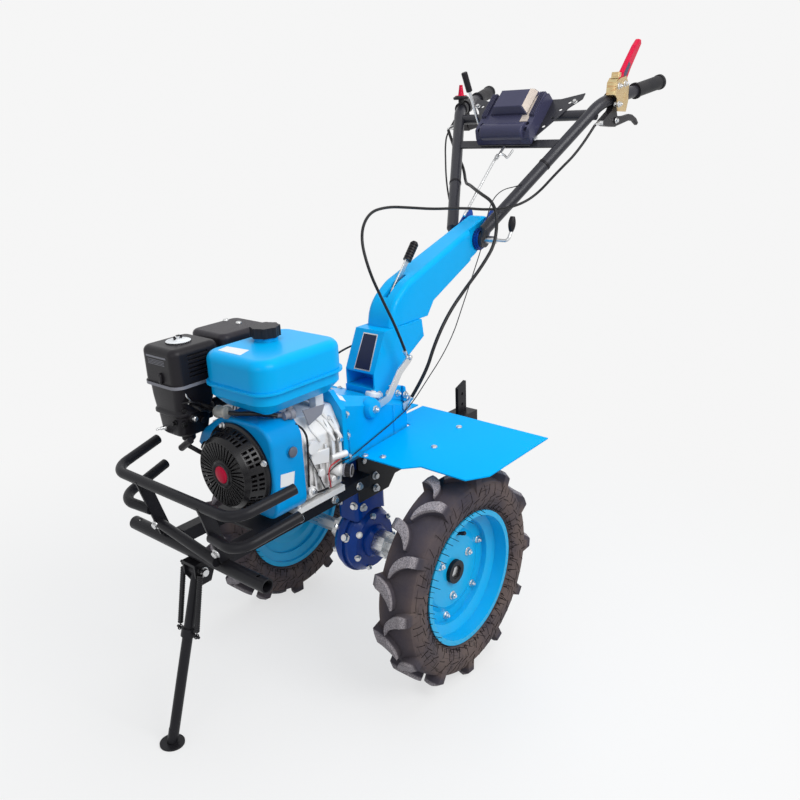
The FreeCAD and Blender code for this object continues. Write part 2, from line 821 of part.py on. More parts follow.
def make_recoil_starter():
    """The bowl over the fan: two rows of vents round its side, slots in its face, and the rope's guide."""
    back = number("gearbox_front + crankcase_length + shroud_depth + 2 * running_gap")
    face = number("recoil_face_radius")
    flange = number("recoil_flange_radius")
    depth = number("recoil_depth")
    centre = FreeCAD.Vector(0, 0, number("crank_height"))
    outline = [(0, 0), (flange, 0), (flange, 6), (flange - 7, 8), (face + 8, depth - 8),
               (face, depth), (30, depth), (26, depth + 2), (0, depth + 2)]
    corners = [FreeCAD.Vector(back + along, radius, 0) for radius, along in outline]
    bowl = Part.Face(Part.makePolygon(corners + corners[:1])).revolve(
        FreeCAD.Vector(), FreeCAD.Vector(1, 0, 0), 360)
    inner = [(0, -1), (flange - 14, -1), (flange - 14, 8), (face + 3, depth - 10),
             (face - 4, depth - 4), (0, depth - 4)]
    corners = [FreeCAD.Vector(back + along, radius, 0) for radius, along in inner]
    bowl = bowl.cut(Part.Face(Part.makePolygon(corners + corners[:1])).revolve(
        FreeCAD.Vector(), FreeCAD.Vector(1, 0, 0), 360))
    cuts = []
    count = int(number("recoil_slots"))
    for index in range(count):
        slot = Part.makeBox(12, 3.4, face - 34, FreeCAD.Vector(back + depth - 8, -1.7, 32))
        slot.rotate(FreeCAD.Vector(), FreeCAD.Vector(1, 0, 0), 360 / count * index)
        cuts.append(slot)
    vents = int(number("recoil_vents"))
    for index in range(vents):
        if index % 5 == 4:
            continue
        for start in (11, 26):
            vent = Part.makeBox(11, 6, 40, FreeCAD.Vector(back + start, -3, face - 2))
            vent.rotate(FreeCAD.Vector(), FreeCAD.Vector(1, 0, 0), 360 / vents * (index + 0.5))
            cuts.append(vent)
    bowl = bowl.cut(Part.makeCompound(cuts))
    guide = Part.makeCone(15, 9, 22, FreeCAD.Vector(back + 14, 0, flange - 22), FreeCAD.Vector(0.35, 0, 1))
    guide = guide.cut(Part.makeCylinder(face + 6, 60, FreeCAD.Vector(back, 0, 0), FreeCAD.Vector(1, 0, 0)))
    guide.rotate(FreeCAD.Vector(), FreeCAD.Vector(1, 0, 0), 68)
    bowl = bowl.fuse(guide).removeSplitter()
    bowl.translate(centre)
    return finish(shaped("recoil_starter", bowl), "recoil_starter")


def make_starter_grip():
    """The pull grip that rests against the recoil starter's rope guide."""
    start = point("gearbox_front + crankcase_length + shroud_depth + 25.5", "-88", "crank_height + 16.6")
    way = FreeCAD.Vector(0.62, -0.45, 0.64).normalize()
    stem = Part.makeCylinder(5, 40, start, way)
    across = way.cross(FreeCAD.Vector(1, 0, 0)).normalize()
    middle = start + way * 44
    handle = Part.makeCylinder(7.5, 46, middle - across * 23, across)
    return finish(shaped("starter_grip", stem.fuse(handle).removeSplitter()), "starter_grip")


def rounded_block(low, high, corner):
    """A block with its upright edges rounded."""
    block = Part.makeBox(high.x - low.x, high.y - low.y, high.z - low.z, low)
    upright = [edge for edge in block.Edges if abs(edge.tangentAt(0).z) > 0.99]
    return block.makeFillet(corner, upright)


def make_fuel_tank():
    """Two pressed shells meeting at a rolled seam, the upper one crowned and ribbed."""
    low = point("tank_rear", "-tank_right", "tank_seam_height")
    high = point("tank_front", "tank_left", "tank_seam_height + tank_upper_height")
    lip = number("tank_seam_lip")
    corner = number("tank_corner")
    upper = rounded_block(low, high, corner)
    crown = [edge for edge in upper.Edges if edge.BoundBox.ZMin > high.z - 1]
    upper = upper.makeFillet(20, crown)
    seam = rounded_block(low - FreeCAD.Vector(lip, lip, 3),
                         FreeCAD.Vector(high.x + lip, high.y + lip, low.z + 2),
                         corner + lip)
    deep = number("tank_lower_height")
    foot = rounded_block(low + FreeCAD.Vector(3, 3, -deep), FreeCAD.Vector(high.x - 3, high.y - 3, low.z),
                         corner - 3)
    under = [edge for edge in foot.Edges if edge.BoundBox.ZMax < low.z - deep + 1]
    foot = foot.makeChamfer(26, under)
    neck = Part.makeCylinder(26, 12, point("250", "-14", "tank_seam_height + tank_upper_height - 4"))
    tank = upper.multiFuse([seam, foot, neck]).removeSplitter()
    return finish(shaped("fuel_tank", tank), "fuel_tank")


def make_fuel_cap():
    """The lobed screw cap."""
    top = number("tank_seam_height + tank_upper_height + 8 + running_gap")
    radius = number("cap_radius")
    body = Part.makeCylinder(radius - 3, number("cap_height"))
    lobes = []
    for index in range(8):
        lobe = Part.makeCylinder(7, number("cap_height"), FreeCAD.Vector(radius - 7, 0, 0))
        lobe.rotate(FreeCAD.Vector(), FreeCAD.Vector(0, 0, 1), 45 * index)
        lobes.append(lobe)
    cap = body.multiFuse(lobes).removeSplitter()
    cap.translate(FreeCAD.Vector(250, -14, top))
    return finish(shaped("fuel_cap", cap), "fuel_cap")


def make_air_filter():
    """The moulded air cleaner with louvres on its inner side and a wing nut on top."""
    low = point("filter_front - filter_length", "-filter_left - filter_width", "filter_bottom")
    high = point("filter_front", "-filter_left", "filter_bottom + filter_height")
    case = rounded_block(low, high, 20)
    top = [edge for edge in case.Edges if edge.BoundBox.ZMin > high.z - 1]
    case = case.makeFillet(14, top)
    rim = rounded_block(low - FreeCAD.Vector(3, 3, 0), FreeCAD.Vector(high.x + 3, high.y + 3, low.z + 7), 23)
    case = case.fuse(rim)
    louvres = []
    for index in range(6):
        up = low.z + 20 + index * 9
        louvres.append(Part.makeBox(52, 8, 4, FreeCAD.Vector(low.x + 34, high.y - 5, up)))
    case = case.cut(Part.makeCompound(louvres))
    disc = Part.makeCylinder(27, 3, FreeCAD.Vector(low.x + 62, low.y + 56, high.z - 0.5))
    stud = Part.makeCylinder(4, 14, FreeCAD.Vector(low.x + 62, low.y + 56, high.z))
    nut = Part.makeBox(20, 3, 9, FreeCAD.Vector(low.x + 52, low.y + 54.5, high.z + 4))
    return finish(shaped("air_filter", case.multiFuse([disc, stud, nut]).removeSplitter()), "air_filter")


def make_carburettor():
    """The carburettor with its float bowl, under the air cleaner."""
    x = number("filter_front - filter_length + 60")
    y = -number("filter_left + filter_width / 2") + 6
    top = number("filter_bottom - running_gap")
    throat = Part.makeCone(40, 26, 54, FreeCAD.Vector(x, y, top - 54))
    body = rounded_block(FreeCAD.Vector(x - 40, y - 30, top - 92),
                         FreeCAD.Vector(x + 34, y + 28, top - 50), 8)
    bowl = Part.makeCylinder(22, 24, FreeCAD.Vector(x + 4, y - 2, top - 112))
    head = number("gearbox_front + crankcase_length / 2 - 4 + cylinder_size / 2 + running_gap")
    intake = Part.makeCylinder(13, x - 30 - head, FreeCAD.Vector(head, y, top - 74), FreeCAD.Vector(1, 0, 0))
    return finish(shaped("carburettor", throat.multiFuse([body, bowl, intake]).removeSplitter()),
                  "carburettor")


def make_muffler(cylinder):
    """The silencer box with its folded guard, behind the air cleaner."""
    front = number("filter_front - filter_length - 12")
    low = FreeCAD.Vector(front - number("muffler_length"), -number("filter_left + 4 + muffler_width"),
                         number("filter_bottom + filter_height - muffler_height + 2"))
    high = FreeCAD.Vector(front, -number("filter_left + 4"), low.z + number("muffler_height"))
    case = rounded_block(low, high, 22)
    top = [edge for edge in case.Edges if edge.BoundBox.ZMin > high.z - 1]
    case = case.makeFillet(12, top)
    pipe = Part.makeCylinder(14, 40, FreeCAD.Vector(low.x + 60, low.y + 60, low.z - 38)).cut(cylinder)
    pipe = max(pipe.Solids, key=lambda solid: solid.CenterOfMass.z)
    tail = Part.makeCylinder(9, 26, FreeCAD.Vector(low.x + 30, low.y + 8, low.z + 24),
                             FreeCAD.Vector(0, -1, 0))
    return finish(shaped("muffler", case.multiFuse([pipe, tail]).removeSplitter()), "muffler")


# ---- Engine frame, guard and stand ------------------------------------------------------------

def make_engine_frame():
    """Two rails under the engine with a cross plate at each end and a nose to the cross tube."""
    rail_top = "crankcase_bottom - running_gap"
    low = "crankcase_bottom - running_gap - frame_rail_height"
    pieces = []
    for side, name in (("1", "left"), ("-1", "right")):
        inner = f"{side} * frame_rail_spread - 14"
        pieces.append(box(f"rail_{name}", ("column_length / 2 + running_gap", inner, low),
                          ("cross_tube_x - cross_tube_radius - running_gap", f"{inner} + 28", rail_top)))
    for name, at in (("rear", "column_length / 2 + running_gap"), ("middle", "170"), ("front", "340")):
        pieces.append(box(f"cross_{name}",
                          (at, "-frame_rail_spread - 14", f"{rail_top} - frame_rail_wall - 2"),
                          (f"{at} + 60", "frame_rail_spread + 14", rail_top)))
    return finish(fuse("engine_frame", pieces), "engine_frame")


def make_cross_tube():
    """The open-ended tube across the nose, with a cross hole at each end."""
    bar = rod("cross_tube_bar", "y", ("cross_tube_x", "-cross_tube_half", "cross_tube_z"),
              "2 * cross_tube_half", "cross_tube_radius")
    bore = rod("cross_tube_bore", "y", ("cross_tube_x", "-cross_tube_half - 1", "cross_tube_z"),
               "2 * cross_tube_half + 2", "cross_tube_radius - cross_tube_wall")
    holes = [rod(f"cross_tube_hole_{name}", "z", ("cross_tube_x", at, "cross_tube_z - 30"), "60", "4.5")
             for name, at in (("left", "cross_tube_half - 24"), ("right", "24 - cross_tube_half"))]
    return finish(cut("front_cross_tube", bar, [bore] + holes), "front_cross_tube")


def make_guard():
    """The upper guard hoop, the two lower horns, the brace between the uprights, and the flat uprights."""
    radius = number("guard_tube_radius")
    upper = [point("416", "222", "369"), point("545", "195", "350")]
    hoop = swept(bent_path(upper + mirrored(upper)[::-1], 46), radius)
    finish(shaped("upper_guard_tube", hoop), "upper_guard_tube")
    lower = [point("407", "220", "306"), point("545", "190", "282"), point("532", "upright_spread", "278")]
    horns = [swept(bent_path(spots, 42), radius) for spots in (lower, mirrored(lower))]
    uprights = []
    for side in (1, -1):
        middle = side * number("upright_spread")
        half = number("upright_thick") / 2
        outline = [("cross_tube_x - 14", "cross_tube_z + cross_tube_radius + running_gap"),
                   ("cross_tube_x + 14", "cross_tube_z + cross_tube_radius + running_gap"),
                   ("545 + 12", "350"), ("545 - 16", "350")]
        corners = [FreeCAD.Vector(number(along), middle - half, number(up)) for along, up in outline]
        plate = Part.Face(Part.makePolygon(corners + corners[:1])).extrude(FreeCAD.Vector(0, 2 * half, 0))
        uprights.append(plate.cut(hoop))
    finish(shaped("guard_uprights", Part.makeCompound(uprights)), "guard_uprights")
    horns = [horn.cut(plate) for horn, plate in zip(horns, uprights)]
    right, left = point("518", "-upright_spread", "242"), point("525", "upright_spread", "219")
    reach = number("upright_spread - upright_thick / 2 - running_gap")
    brace = Part.makeCylinder(radius, (left - right).Length, right, left - right)
    brace = brace.common(Part.makeBox(200, 2 * reach, 200,
                                      FreeCAD.Vector(right.x - 100, -reach, right.z - 100)))
    finish(shaped("lower_guard_tubes", Part.makeCompound(horns + [brace])), "lower_guard_tubes")


def coil_spring(top, bottom):
    """A close-wound extension spring between two pins across the machine, with an eye round each."""
    way = (bottom - top).normalize()
    radius = number("spring_radius")
    coil = number("spring_coil")
    eye = radius - 1
    room = (bottom - top).Length - 4 * eye
    turns = int(room / coil)
    side = way.cross(FreeCAD.Vector(0, 1, 0))
    start = top + way * ((bottom - top).Length - turns * coil) * 0.5
    corners = [start]
    for index in range(turns):
        corners.append(start + way * (coil * index) + side * (radius - 1))
        corners.append(start + way * (coil * (index + 0.5)) + side * radius)
    corners.append(start + way * (coil * turns) + side * (radius - 1))
    corners.append(start + way * (coil * turns))
    wound = Part.Face(Part.makePolygon(corners + corners[:1])).revolve(start, way, 360)
    pieces = []
    for pin, toward in ((top, way), (bottom, way * -1)):
        pieces.append(Part.makeTorus(eye, 1.2, pin, FreeCAD.Vector(0, 1, 0)))
        pieces.append(Part.makeCylinder(1.2, start.distanceToPoint(top) - eye + 1,
                                        pin + toward * eye, toward))
    return wound.multiFuse(pieces).removeSplitter()


def make_stand():
    """The bracket under the cross tube and the spring-held leg that folds up behind it."""
    gap = "stand_ear_gap / 2"
    ears = []
    for name, low, high in (("left", gap, f"{gap} + stand_ear_wall"),
                            ("right", f"-{gap} - stand_ear_wall", f"-{gap}")):
        ear = new_body(f"stand_ear_{name}")
        extrude(ear, "XZ", low, high, [
            ("stand_pivot_x - 26", "cross_tube_z - cross_tube_radius - running_gap"),
            ("stand_pivot_x - 26", "stand_pivot_z - 6"),
            ("stand_pivot_x - 16", "stand_pivot_z - 28"),
            ("stand_pivot_x + 8", "stand_pivot_z - 28"),
            ("stand_pivot_x + 20", "stand_pivot_z - 6"),
            ("stand_pivot_x + 20", "cross_tube_z - cross_tube_radius - running_gap"),
        ], [("stand_pivot_x", "stand_pivot_z", "stand_bolt_radius + 0.05")])
        ears.append(ear)
    stubs = [rod(f"spring_stub_{name}", "y", ("stand_pivot_x + 12", start, "stand_pivot_z + 12"),
                 "spring_stub", "spring_pin_radius")
             for name, start in (("left", f"{gap} + stand_ear_wall - 1"),
                                 ("right", f"-{gap} - stand_ear_wall + 1 - spring_stub"))]
    web = box("stand_web",
              ("stand_pivot_x - 26", f"-{gap} - stand_ear_wall", "cross_tube_z - cross_tube_radius - 7"),
              ("stand_pivot_x + 20", f"{gap} + stand_ear_wall",
               "cross_tube_z - cross_tube_radius - running_gap"))
    finish(fuse("stand_bracket", ears + stubs + [web]), "stand_bracket")

    pivot = point("stand_pivot_x", "0", "stand_pivot_z")
    ground = PARKED.inverse().multVec(FreeCAD.Vector(0, 0, 0))
    tip = number("park_angle")
    drop = pivot.z - ground.z
    down = PARKED.Rotation.inverted().multVec(FreeCAD.Vector(0.235, 0, -1)).normalize()
    up_world = PARKED.Rotation.inverted().multVec(FreeCAD.Vector(0, 0, 1))
    height = PARKED.multVec(pivot).z
    length = height / abs(down.dot(up_world))
    foot = pivot + down * length
    radius = number("stand_leg_radius")
    leg = Part.makeCylinder(radius, length - 6, pivot - down * 12, down)
    boss = Part.makeCylinder(radius + 3, number("stand_ear_gap - 1"),
                             pivot - FreeCAD.Vector(0, number("stand_ear_gap - 1") / 2, 0),
                             FreeCAD.Vector(0, 1, 0))
    collar = Part.makeCylinder(radius + 4, 18, pivot + down * 128, down)
    plate = Part.makeCylinder(number("stand_foot_size"), 4, foot, up_world)
    under = Part.makeCylinder(radius, 30, foot + up_world * 3.9, -down).cut(
        Part.makeCylinder(4 * radius, 20, foot - up_world * 19, up_world))
    pin = Part.makeCylinder(number("stand_bolt_radius"), number("stand_ear_gap + 2 * stand_ear_wall + 8"),
                            pivot - FreeCAD.Vector(0, number("stand_ear_gap / 2 + stand_ear_wall + 4"), 0),
                            FreeCAD.Vector(0, 1, 0))
    reach = number("stand_ear_gap / 2 + stand_ear_wall + spring_stub - 1")
    low_pin = pivot + down * 137
    hook_pin = Part.makeCylinder(number("spring_pin_radius"), 2 * reach,
                                 low_pin - FreeCAD.Vector(0, reach, 0),
                                 FreeCAD.Vector(0, 1, 0))
    solid = leg.multiFuse([boss, collar, plate, under, pin, hook_pin]).removeSplitter()
    finish(shaped("stand_leg", solid), "stand_leg")
    high_pin = point("stand_pivot_x + 12", "0", "stand_pivot_z + 12")
    springs = [coil_spring(high_pin + FreeCAD.Vector(0, across, 0), low_pin + FreeCAD.Vector(0, across, 0))
               for across in (reach - 8, 8 - reach)]
    finish(shaped("stand_springs", Part.makeCompound(springs)), "stand_springs")


# ---- Fenders, hitch and depth bar -------------------------------------------------------------

def make_fenders():
    """The flat fenders with their cut corners, one over each wheel."""
    for side, name in (("1", "left"), ("-1", "right")):
        body = new_body(f"{name}_fender_plate")
        outline = [("92", f"{gearbox_wall('92')} + 2"), ("90", "214"), ("58", "244"), ("60", "366"),
                   ("12", "fender_outer"), ("-244", "fender_outer"), ("-256", "8"),
                   ("-gearbox_rear - 12", "8"), ("-gearbox_rear - 12", "gearbox_tail_width / 2 + 2")]
        extrude(body, "XY", "fender_height", "fender_height + fender_thick",
                [(along, f"{side} * ({out})") for along, out in outline])
        finish(body, f"{name}_fender")


def make_fender_brackets():
    """The black side plates bolted to the column, carrying the fenders."""
    pieces = []
    for side, name in (("1", "left"), ("-1", "right")):
        inner = "column_width / 2 + running_gap"
        ends = [f"{side} * ({inner})", f"{side} * ({inner} + 5)"]
        low, high = sorted(ends, key=number)
        plate = new_body(f"fender_bracket_{name}")
        extrude(plate, "XZ", low, high,
                [("-130", "205"), ("-60", "130"), ("50", "130"), ("50", "gearbox_bottom - running_gap"),
                                         ("-gearbox_rear - running_gap", "gearbox_bottom - running_gap"),
                                         ("-gearbox_rear - running_gap", "fender_height - 6"),
                                         ("-130", "fender_height - 6")])
        ends = [f"{side} * ({inner})", f"{side} * 215"]
        low, high = sorted(ends, key=number)
        arm = box(f"fender_arm_{name}", ("-60", low, "gearbox_bottom - 6"),
                  ("-30", high, "gearbox_bottom - running_gap"))
        near, far = sorted([f"{side} * 200", f"{side} * 215"], key=number)
        post = box(f"fender_post_{name}", ("-60", near, "gearbox_bottom - 6"),
                   ("-30", far, "fender_height - running_gap"))
        pieces.append(fuse(f"fender_support_{name}", [plate, arm, post]))
    both = document.addObject("Part::Compound", "both_brackets")
    both.Links = pieces
    return finish(both, "fender_brackets")


def make_hitch():
    """The rear hitch with its pin holes and the notched depth bar that it holds."""
    far = "depth_bar_x - depth_bar_width / 2"
    body = new_body("hitch_block")
    extrude(body, "XY", "150", "206", [
        ("-column_length / 2 - running_gap", "-hitch_width / 2"),
        ("-column_length / 2 - running_gap", "hitch_width / 2"),
        ("-depth_bar_x - 40", "hitch_width / 2"), ("-depth_bar_x - 40", "-hitch_width / 2")],
        [("-250", "0", "hitch_pin_radius")])
    slot = box("hitch_slot",
               ("-depth_bar_x - depth_bar_width / 2 - running_gap", "-depth_bar_thick / 2 - running_gap",
                "140"),
               ("-depth_bar_x + depth_bar_width / 2 + running_gap", "depth_bar_thick / 2 + running_gap",
                "216"))
    finish(cut("rear_hitch", body, [slot]), "rear_hitch")
    bar = new_body("depth_bar_flat")
    extrude(bar, "XZ", "-depth_bar_thick / 2", "depth_bar_thick / 2", [
        ("-depth_bar_x - depth_bar_width / 2", "40"), ("-depth_bar_x + depth_bar_width / 2", "10"),
        ("-depth_bar_x + depth_bar_width / 2", "283"), ("-depth_bar_x - depth_bar_width / 2", "297")],
        [("-depth_bar_x", up, "5") for up in ("70", "110", "150", "190", "230", "262")])
    finish(bar, "depth_bar")


# ---- Handlebar column -------------------------------------------------------------------------

def make_clutch_lever():
    """The curved flat clutch arm on its pivot at the gearbox's left shoulder."""
    wall = number(f"{gearbox_wall('43')} + running_gap")
    thick = number("clutch_arm_thick")
    boss_length = 15
    level = wall + boss_length - 4 - thick
    pivot = FreeCAD.Vector(number("clutch_pivot_x"), level, number("clutch_pivot_z"))
    middle = [pivot, pivot + FreeCAD.Vector(-58, 0, 10), pivot + FreeCAD.Vector(-104, 0, 64),
              pivot + FreeCAD.Vector(-140, 0, 86)]
    outline = bent_path(middle, 26).makeOffset2D(number("clutch_arm_half"), 0, False, False, False)
    arm = Part.Face(outline).extrude(FreeCAD.Vector(0, thick, 0))
    across = FreeCAD.Vector(0, 1, 0)
    boss = Part.makeCylinder(number("clutch_boss_radius"), boss_length,
                             FreeCAD.Vector(pivot.x, wall, pivot.z), across)
    hole = Part.makeCylinder(3, thick + 2, middle[-1] - across, across)
    return finish(shaped("clutch_lever", arm.fuse(boss).cut(hole).removeSplitter()), "clutch_lever")


def make_handle_seat():
    """The folded sheet seat between gearbox and column, open in front below."""
    body = new_body("handle_seat_sheet")
    half = "seat_width / 2"
    extrude(body, "XZ", f"-{half}", half, [
        ("-22", "408"), ("-22", "447"), ("-68", "column_foot_height - running_gap"),
        ("-215", "column_foot_height - running_gap"), ("-222", "column_foot_height - 46"),
        ("-150", "column_foot_height - 86"), ("-90", "408")])
    room = box("seat_room", ("-84", f"-{half} + seat_wall", "400"), ("-10", f"{half} - seat_wall", "444"))
    foot = new_body("seat_foot")
    extrude(foot, "XZ", f"-{half}", half, [
        ("-106", f"{gearbox_roof('-106')} + running_gap"), ("-18", f"{gearbox_roof('-18')} + running_gap"),
        ("-18", "408"), ("-106", "408")])
    return finish(fuse("handle_seat", [cut("seat_shell", body, [room]), foot]), "handle_seat")


def make_column_cover():
    """The long tapered cover over the column, rounded along its back and slotted for the gear lever."""
    body = new_body("column_cover_shell")
    half = "cover_foot_width / 2"
    back = [("-99", "column_foot_height"), ("-110", "column_foot_height + 55"),
            ("-174", "column_foot_height + 99")]
    head = [("-538", "clamp_z + 59"), ("-572", "clamp_z + 42")]
    extrude(body, "XZ", f"-{half}", half, back + head + [
        ("-562", "clamp_z + 10"), ("-500", "clamp_z - 32"), ("-400", "column_foot_height + 87"),
        ("-278", "column_foot_height + 35"), ("-250", "column_foot_height")])

    def at_corners(corners):
        places = [(number(along), number(up)) for along, up in corners]

        def test(edge):
            middle = edge.CenterOfMass
            return any(abs(middle.x - along) + abs(middle.z - up) < 0.1 for along, up in places)
        return test

    round_edges(body, at_corners(back[1:]), "cover_bend")
    round_edges(body, at_corners(head), "cover_head_round")
    taper = []
    for side, name in (("1", "left"), ("-1", "right")):
        wedge = new_body(f"cover_taper_{name}")
        extrude(wedge, "XY", "column_foot_height - 11", "clamp_z + 88", [
            ("-90", f"{side} * ({half})"), ("-600", f"{side} * (cover_head_width / 2 + 3)"),
            ("-600", f"{side} * ({half} + 10)"), ("-90", f"{side} * ({half} + 10)")])
        taper.append(wedge)
    flats = [box("head_flat_left", ("-620", "cover_head_width / 2", "clamp_z - 62"),
                 ("clamp_x + 46", "80", "clamp_z + 98")),
             box("head_flat_right", ("-620", "-80", "clamp_z - 62"),
                 ("clamp_x + 46", "-cover_head_width / 2", "clamp_z + 98"))]
    blank = cut("column_cover_blank", body, taper)
    document.recompute()
    shape = blank.Shape
    low = number("column_foot_height")

    def is_upper(edge):
        middle = edge.CenterOfMass
        along_side = abs(middle.y) > 20 and edge.BoundBox.YLength < 25 and edge.Length > 1
        return along_side and middle.x > -545 and middle.z > low + 5 + max(0, -middle.x - 200) * 0.42

    rounded = shaped("column_cover_rounded", shape.makeFillet(
        number("cover_edge"), [edge for edge in shape.Edges if is_upper(edge)]))
    slot = box("lever_slot", ("-208", "-lever_slot_width / 2", "column_foot_height + 59"),
               ("-130", "lever_slot_width / 2", "column_foot_height + 139"))
    bore = rod("head_bore", "y", ("clamp_x", "-80", "clamp_z"), "160", "clamp_bolt_radius + 0.05")
    return finish(cut("column_cover", rounded, flats + [slot, bore]), "column_cover")


def make_gear_lever():
    """The flat gear lever with its ribbed knob, out of the slot in the column cover."""
    foot = point("-158", "0", "column_foot_height + 71")
    head = point("-224", "0", "column_foot_height + 147")
    way = (head - foot).normalize()
    upright = FreeCAD.Vector(0, 0, 1)
    width = number("gear_lever_width")
    thick = number("gear_lever_thick")
    blade = Part.makeBox(width, thick, (head - foot).Length, FreeCAD.Vector(-width / 2, -thick / 2, 0))
    blade.Placement = FreeCAD.Placement(foot, FreeCAD.Rotation(upright, way))
    radius = number("knob_radius")
    pitch = number("knob_rib_pitch")
    groove = radius - 2
    corners = [FreeCAD.Vector(0, 0, 0)]
    for index in range(7):
        low = index * pitch
        corners.append(FreeCAD.Vector(radius, 0, low))
        corners.append(FreeCAD.Vector(radius, 0, low + 0.6 * pitch))
        corners.append(FreeCAD.Vector(groove, 0, low + 0.7 * pitch))
        corners.append(FreeCAD.Vector(groove, 0, low + 0.9 * pitch))
    top = 7.3 * pitch
    corners.append(FreeCAD.Vector(radius - 4, 0, top))
    corners.append(FreeCAD.Vector(0, 0, top))
    knob = Part.Face(Part.makePolygon(corners + corners[:1])).revolve(FreeCAD.Vector(), upright, 360)
    knob.Placement = FreeCAD.Placement(head - way * 4, FreeCAD.Rotation(upright, way))
    reach = number("lever_slot_width / 2 - running_gap")
    pin = Part.makeCylinder(number("gear_pin_radius"), 2 * reach,
                            foot + way * 12 - FreeCAD.Vector(0, reach, 0),
                            FreeCAD.Vector(0, 1, 0))
    return finish(shaped("gear_lever", blade.multiFuse([knob, pin]).removeSplitter()), "gear_lever")


# ---- Handlebar --------------------------------------------------------------------------------

HANDLE_START = ("-493", "53", "727")
HANDLE_BEND = ("-792", "232", "1038")
HANDLE_END = ("-1042", "290", "1089")


def handle_tube(side):
    """One handle tube, from the clamp up to the bend and back to the grip's end."""
    spots = [point(*HANDLE_START), point(*HANDLE_BEND), point(*HANDLE_END)]
    if side < 0:
        spots = mirrored(spots)
    radius = number("handle_tube_radius")
    return swept(bent_path(spots, number("handle_bend")), radius, radius - number("handle_tube_wall"))


def tube_end(side, near):
    """A handle tube's lower end, pressed flat and round about the clamp bolt, from a distance across."""
    start = point(*HANDLE_START)
    way = (point(*HANDLE_BEND) - start).normalize()
    thick = number("tube_end_thick")
    radius = number("tube_end_radius")
    pivot = point("clamp_x", str(near + thick / 2), "clamp_z")
    flat_way = (start - pivot).normalize()
    oval = Part.Ellipse(FreeCAD.Vector(), radius - 0.5, thick / 2).toShape()
    across = FreeCAD.Vector(0, 1, 0)
    level = across - flat_way * across.dot(flat_way)
    oval.Placement = FreeCAD.Placement(pivot, FreeCAD.Rotation(level.cross(flat_way), level, flat_way, "ZYX"))
    ring = Part.Circle(start, way, number("handle_tube_radius")).toShape()
    pressed = Part.makeLoft([Part.Wire(oval), Part.Wire(ring)], True)
    eye = Part.makeCylinder(radius, thick, pivot - across * (thick / 2), across)
    outward = Part.makeBox(200, 100, 200, FreeCAD.Vector(pivot.x - 100, near, pivot.z - 100))
    end = pressed.common(outward).fuse(eye)
    return end if side > 0 else end.mirror(FreeCAD.Vector(), across)


def bolt_room(side, near):
    """What a tube's end leaves free: the clamp bolt's bore and a round seat for its sleeve or nut."""
    across = FreeCAD.Vector(0, side, 0)
    pivot = point("clamp_x", "0", "clamp_z")
    bore = Part.makeCylinder(number("clamp_bolt_radius + 0.05"), 120, pivot, across)
    seat = Part.makeCylinder(number("crank_sleeve_radius + 1"), 60,
                             pivot + across * (near + number("tube_end_thick")),
                             across)
    return bore.fuse(seat)


def clevis_plate(low, wall):
    """One fork plate: round about the clamp bolt, and running up the handle tube to a rounded end."""
    way = FreeCAD.Vector(-0.693, 0, 0.721)
    start = FreeCAD.Vector(number("clamp_x"), low, number("clamp_z"))
    across = FreeCAD.Vector(0, 1, 0)
    eye = Part.makeCylinder(26, wall, start, across)
    tip = Part.makeCylinder(17, wall, start + way * 78, across)
    side = way.cross(across)
    corners = [start + side * 24 + way * 8, start - side * 24 + way * 8, start - side * 17 + way * 78,
               start + side * 17 + way * 78]
    strap = Part.Face(Part.makePolygon(corners + corners[:1])).extrude(across * wall)
    return eye.multiFuse([tip, strap]).removeSplitter()


def make_clamp():
    """The toothed discs on the column's head and the forked plates that clamp on them."""
    half = "cover_head_width / 2"
    pivot = point("clamp_x", "0", "clamp_z")
    count = int(number("clamp_teeth"))
    radius = number("clamp_disc_radius")
    discs = []
    for side in (1, -1):
        low = number(f"{half} + running_gap")
        thick = number("clamp_disc_thick")
        disc = Part.makeCylinder(radius, thick, FreeCAD.Vector(0, low, 0), FreeCAD.Vector(0, 1, 0))
        notches = []
        for index in range(count):
            notch = Part.makeCylinder(2, thick + 2, FreeCAD.Vector(radius, low - 1, 0),
                                      FreeCAD.Vector(0, 1, 0))
            notch.rotate(FreeCAD.Vector(), FreeCAD.Vector(0, 1, 0), 360 / count * index)
            notches.append(notch)
        bore = Part.makeCylinder(number("clamp_bolt_radius + 0.05"), 80, FreeCAD.Vector(0, 0, 0),
                                 FreeCAD.Vector(0, 1, 0))
        disc = disc.cut(Part.makeCompound(notches + [bore]))
        if side < 0:
            disc = disc.mirror(FreeCAD.Vector(), FreeCAD.Vector(0, 1, 0))
        disc.translate(pivot)
        discs.append(disc)
    finish(shaped("clamp_discs", Part.makeCompound(discs)), "clamp_discs")

    wall = number("clevis_wall")
    near = number(f"{half} + clamp_disc_thick + 2 * running_gap")
    plates = [clevis_plate(near, wall), clevis_plate(-near - wall, wall)]
    bore = Part.makeCylinder(number("clamp_bolt_radius + 0.05"), 160, point("clamp_x", "-80", "clamp_z"),
                             FreeCAD.Vector(0, 1, 0))
    finish(shaped("handle_clevis", Part.makeCompound([plate.cut(bore) for plate in plates])), "handle_clevis")
    return plates


def clevis_outside():
    """How far across the outer faces of the clevis plates stand."""
    return number("cover_head_width / 2 + clamp_disc_thick + 2 * running_gap + clevis_wall")


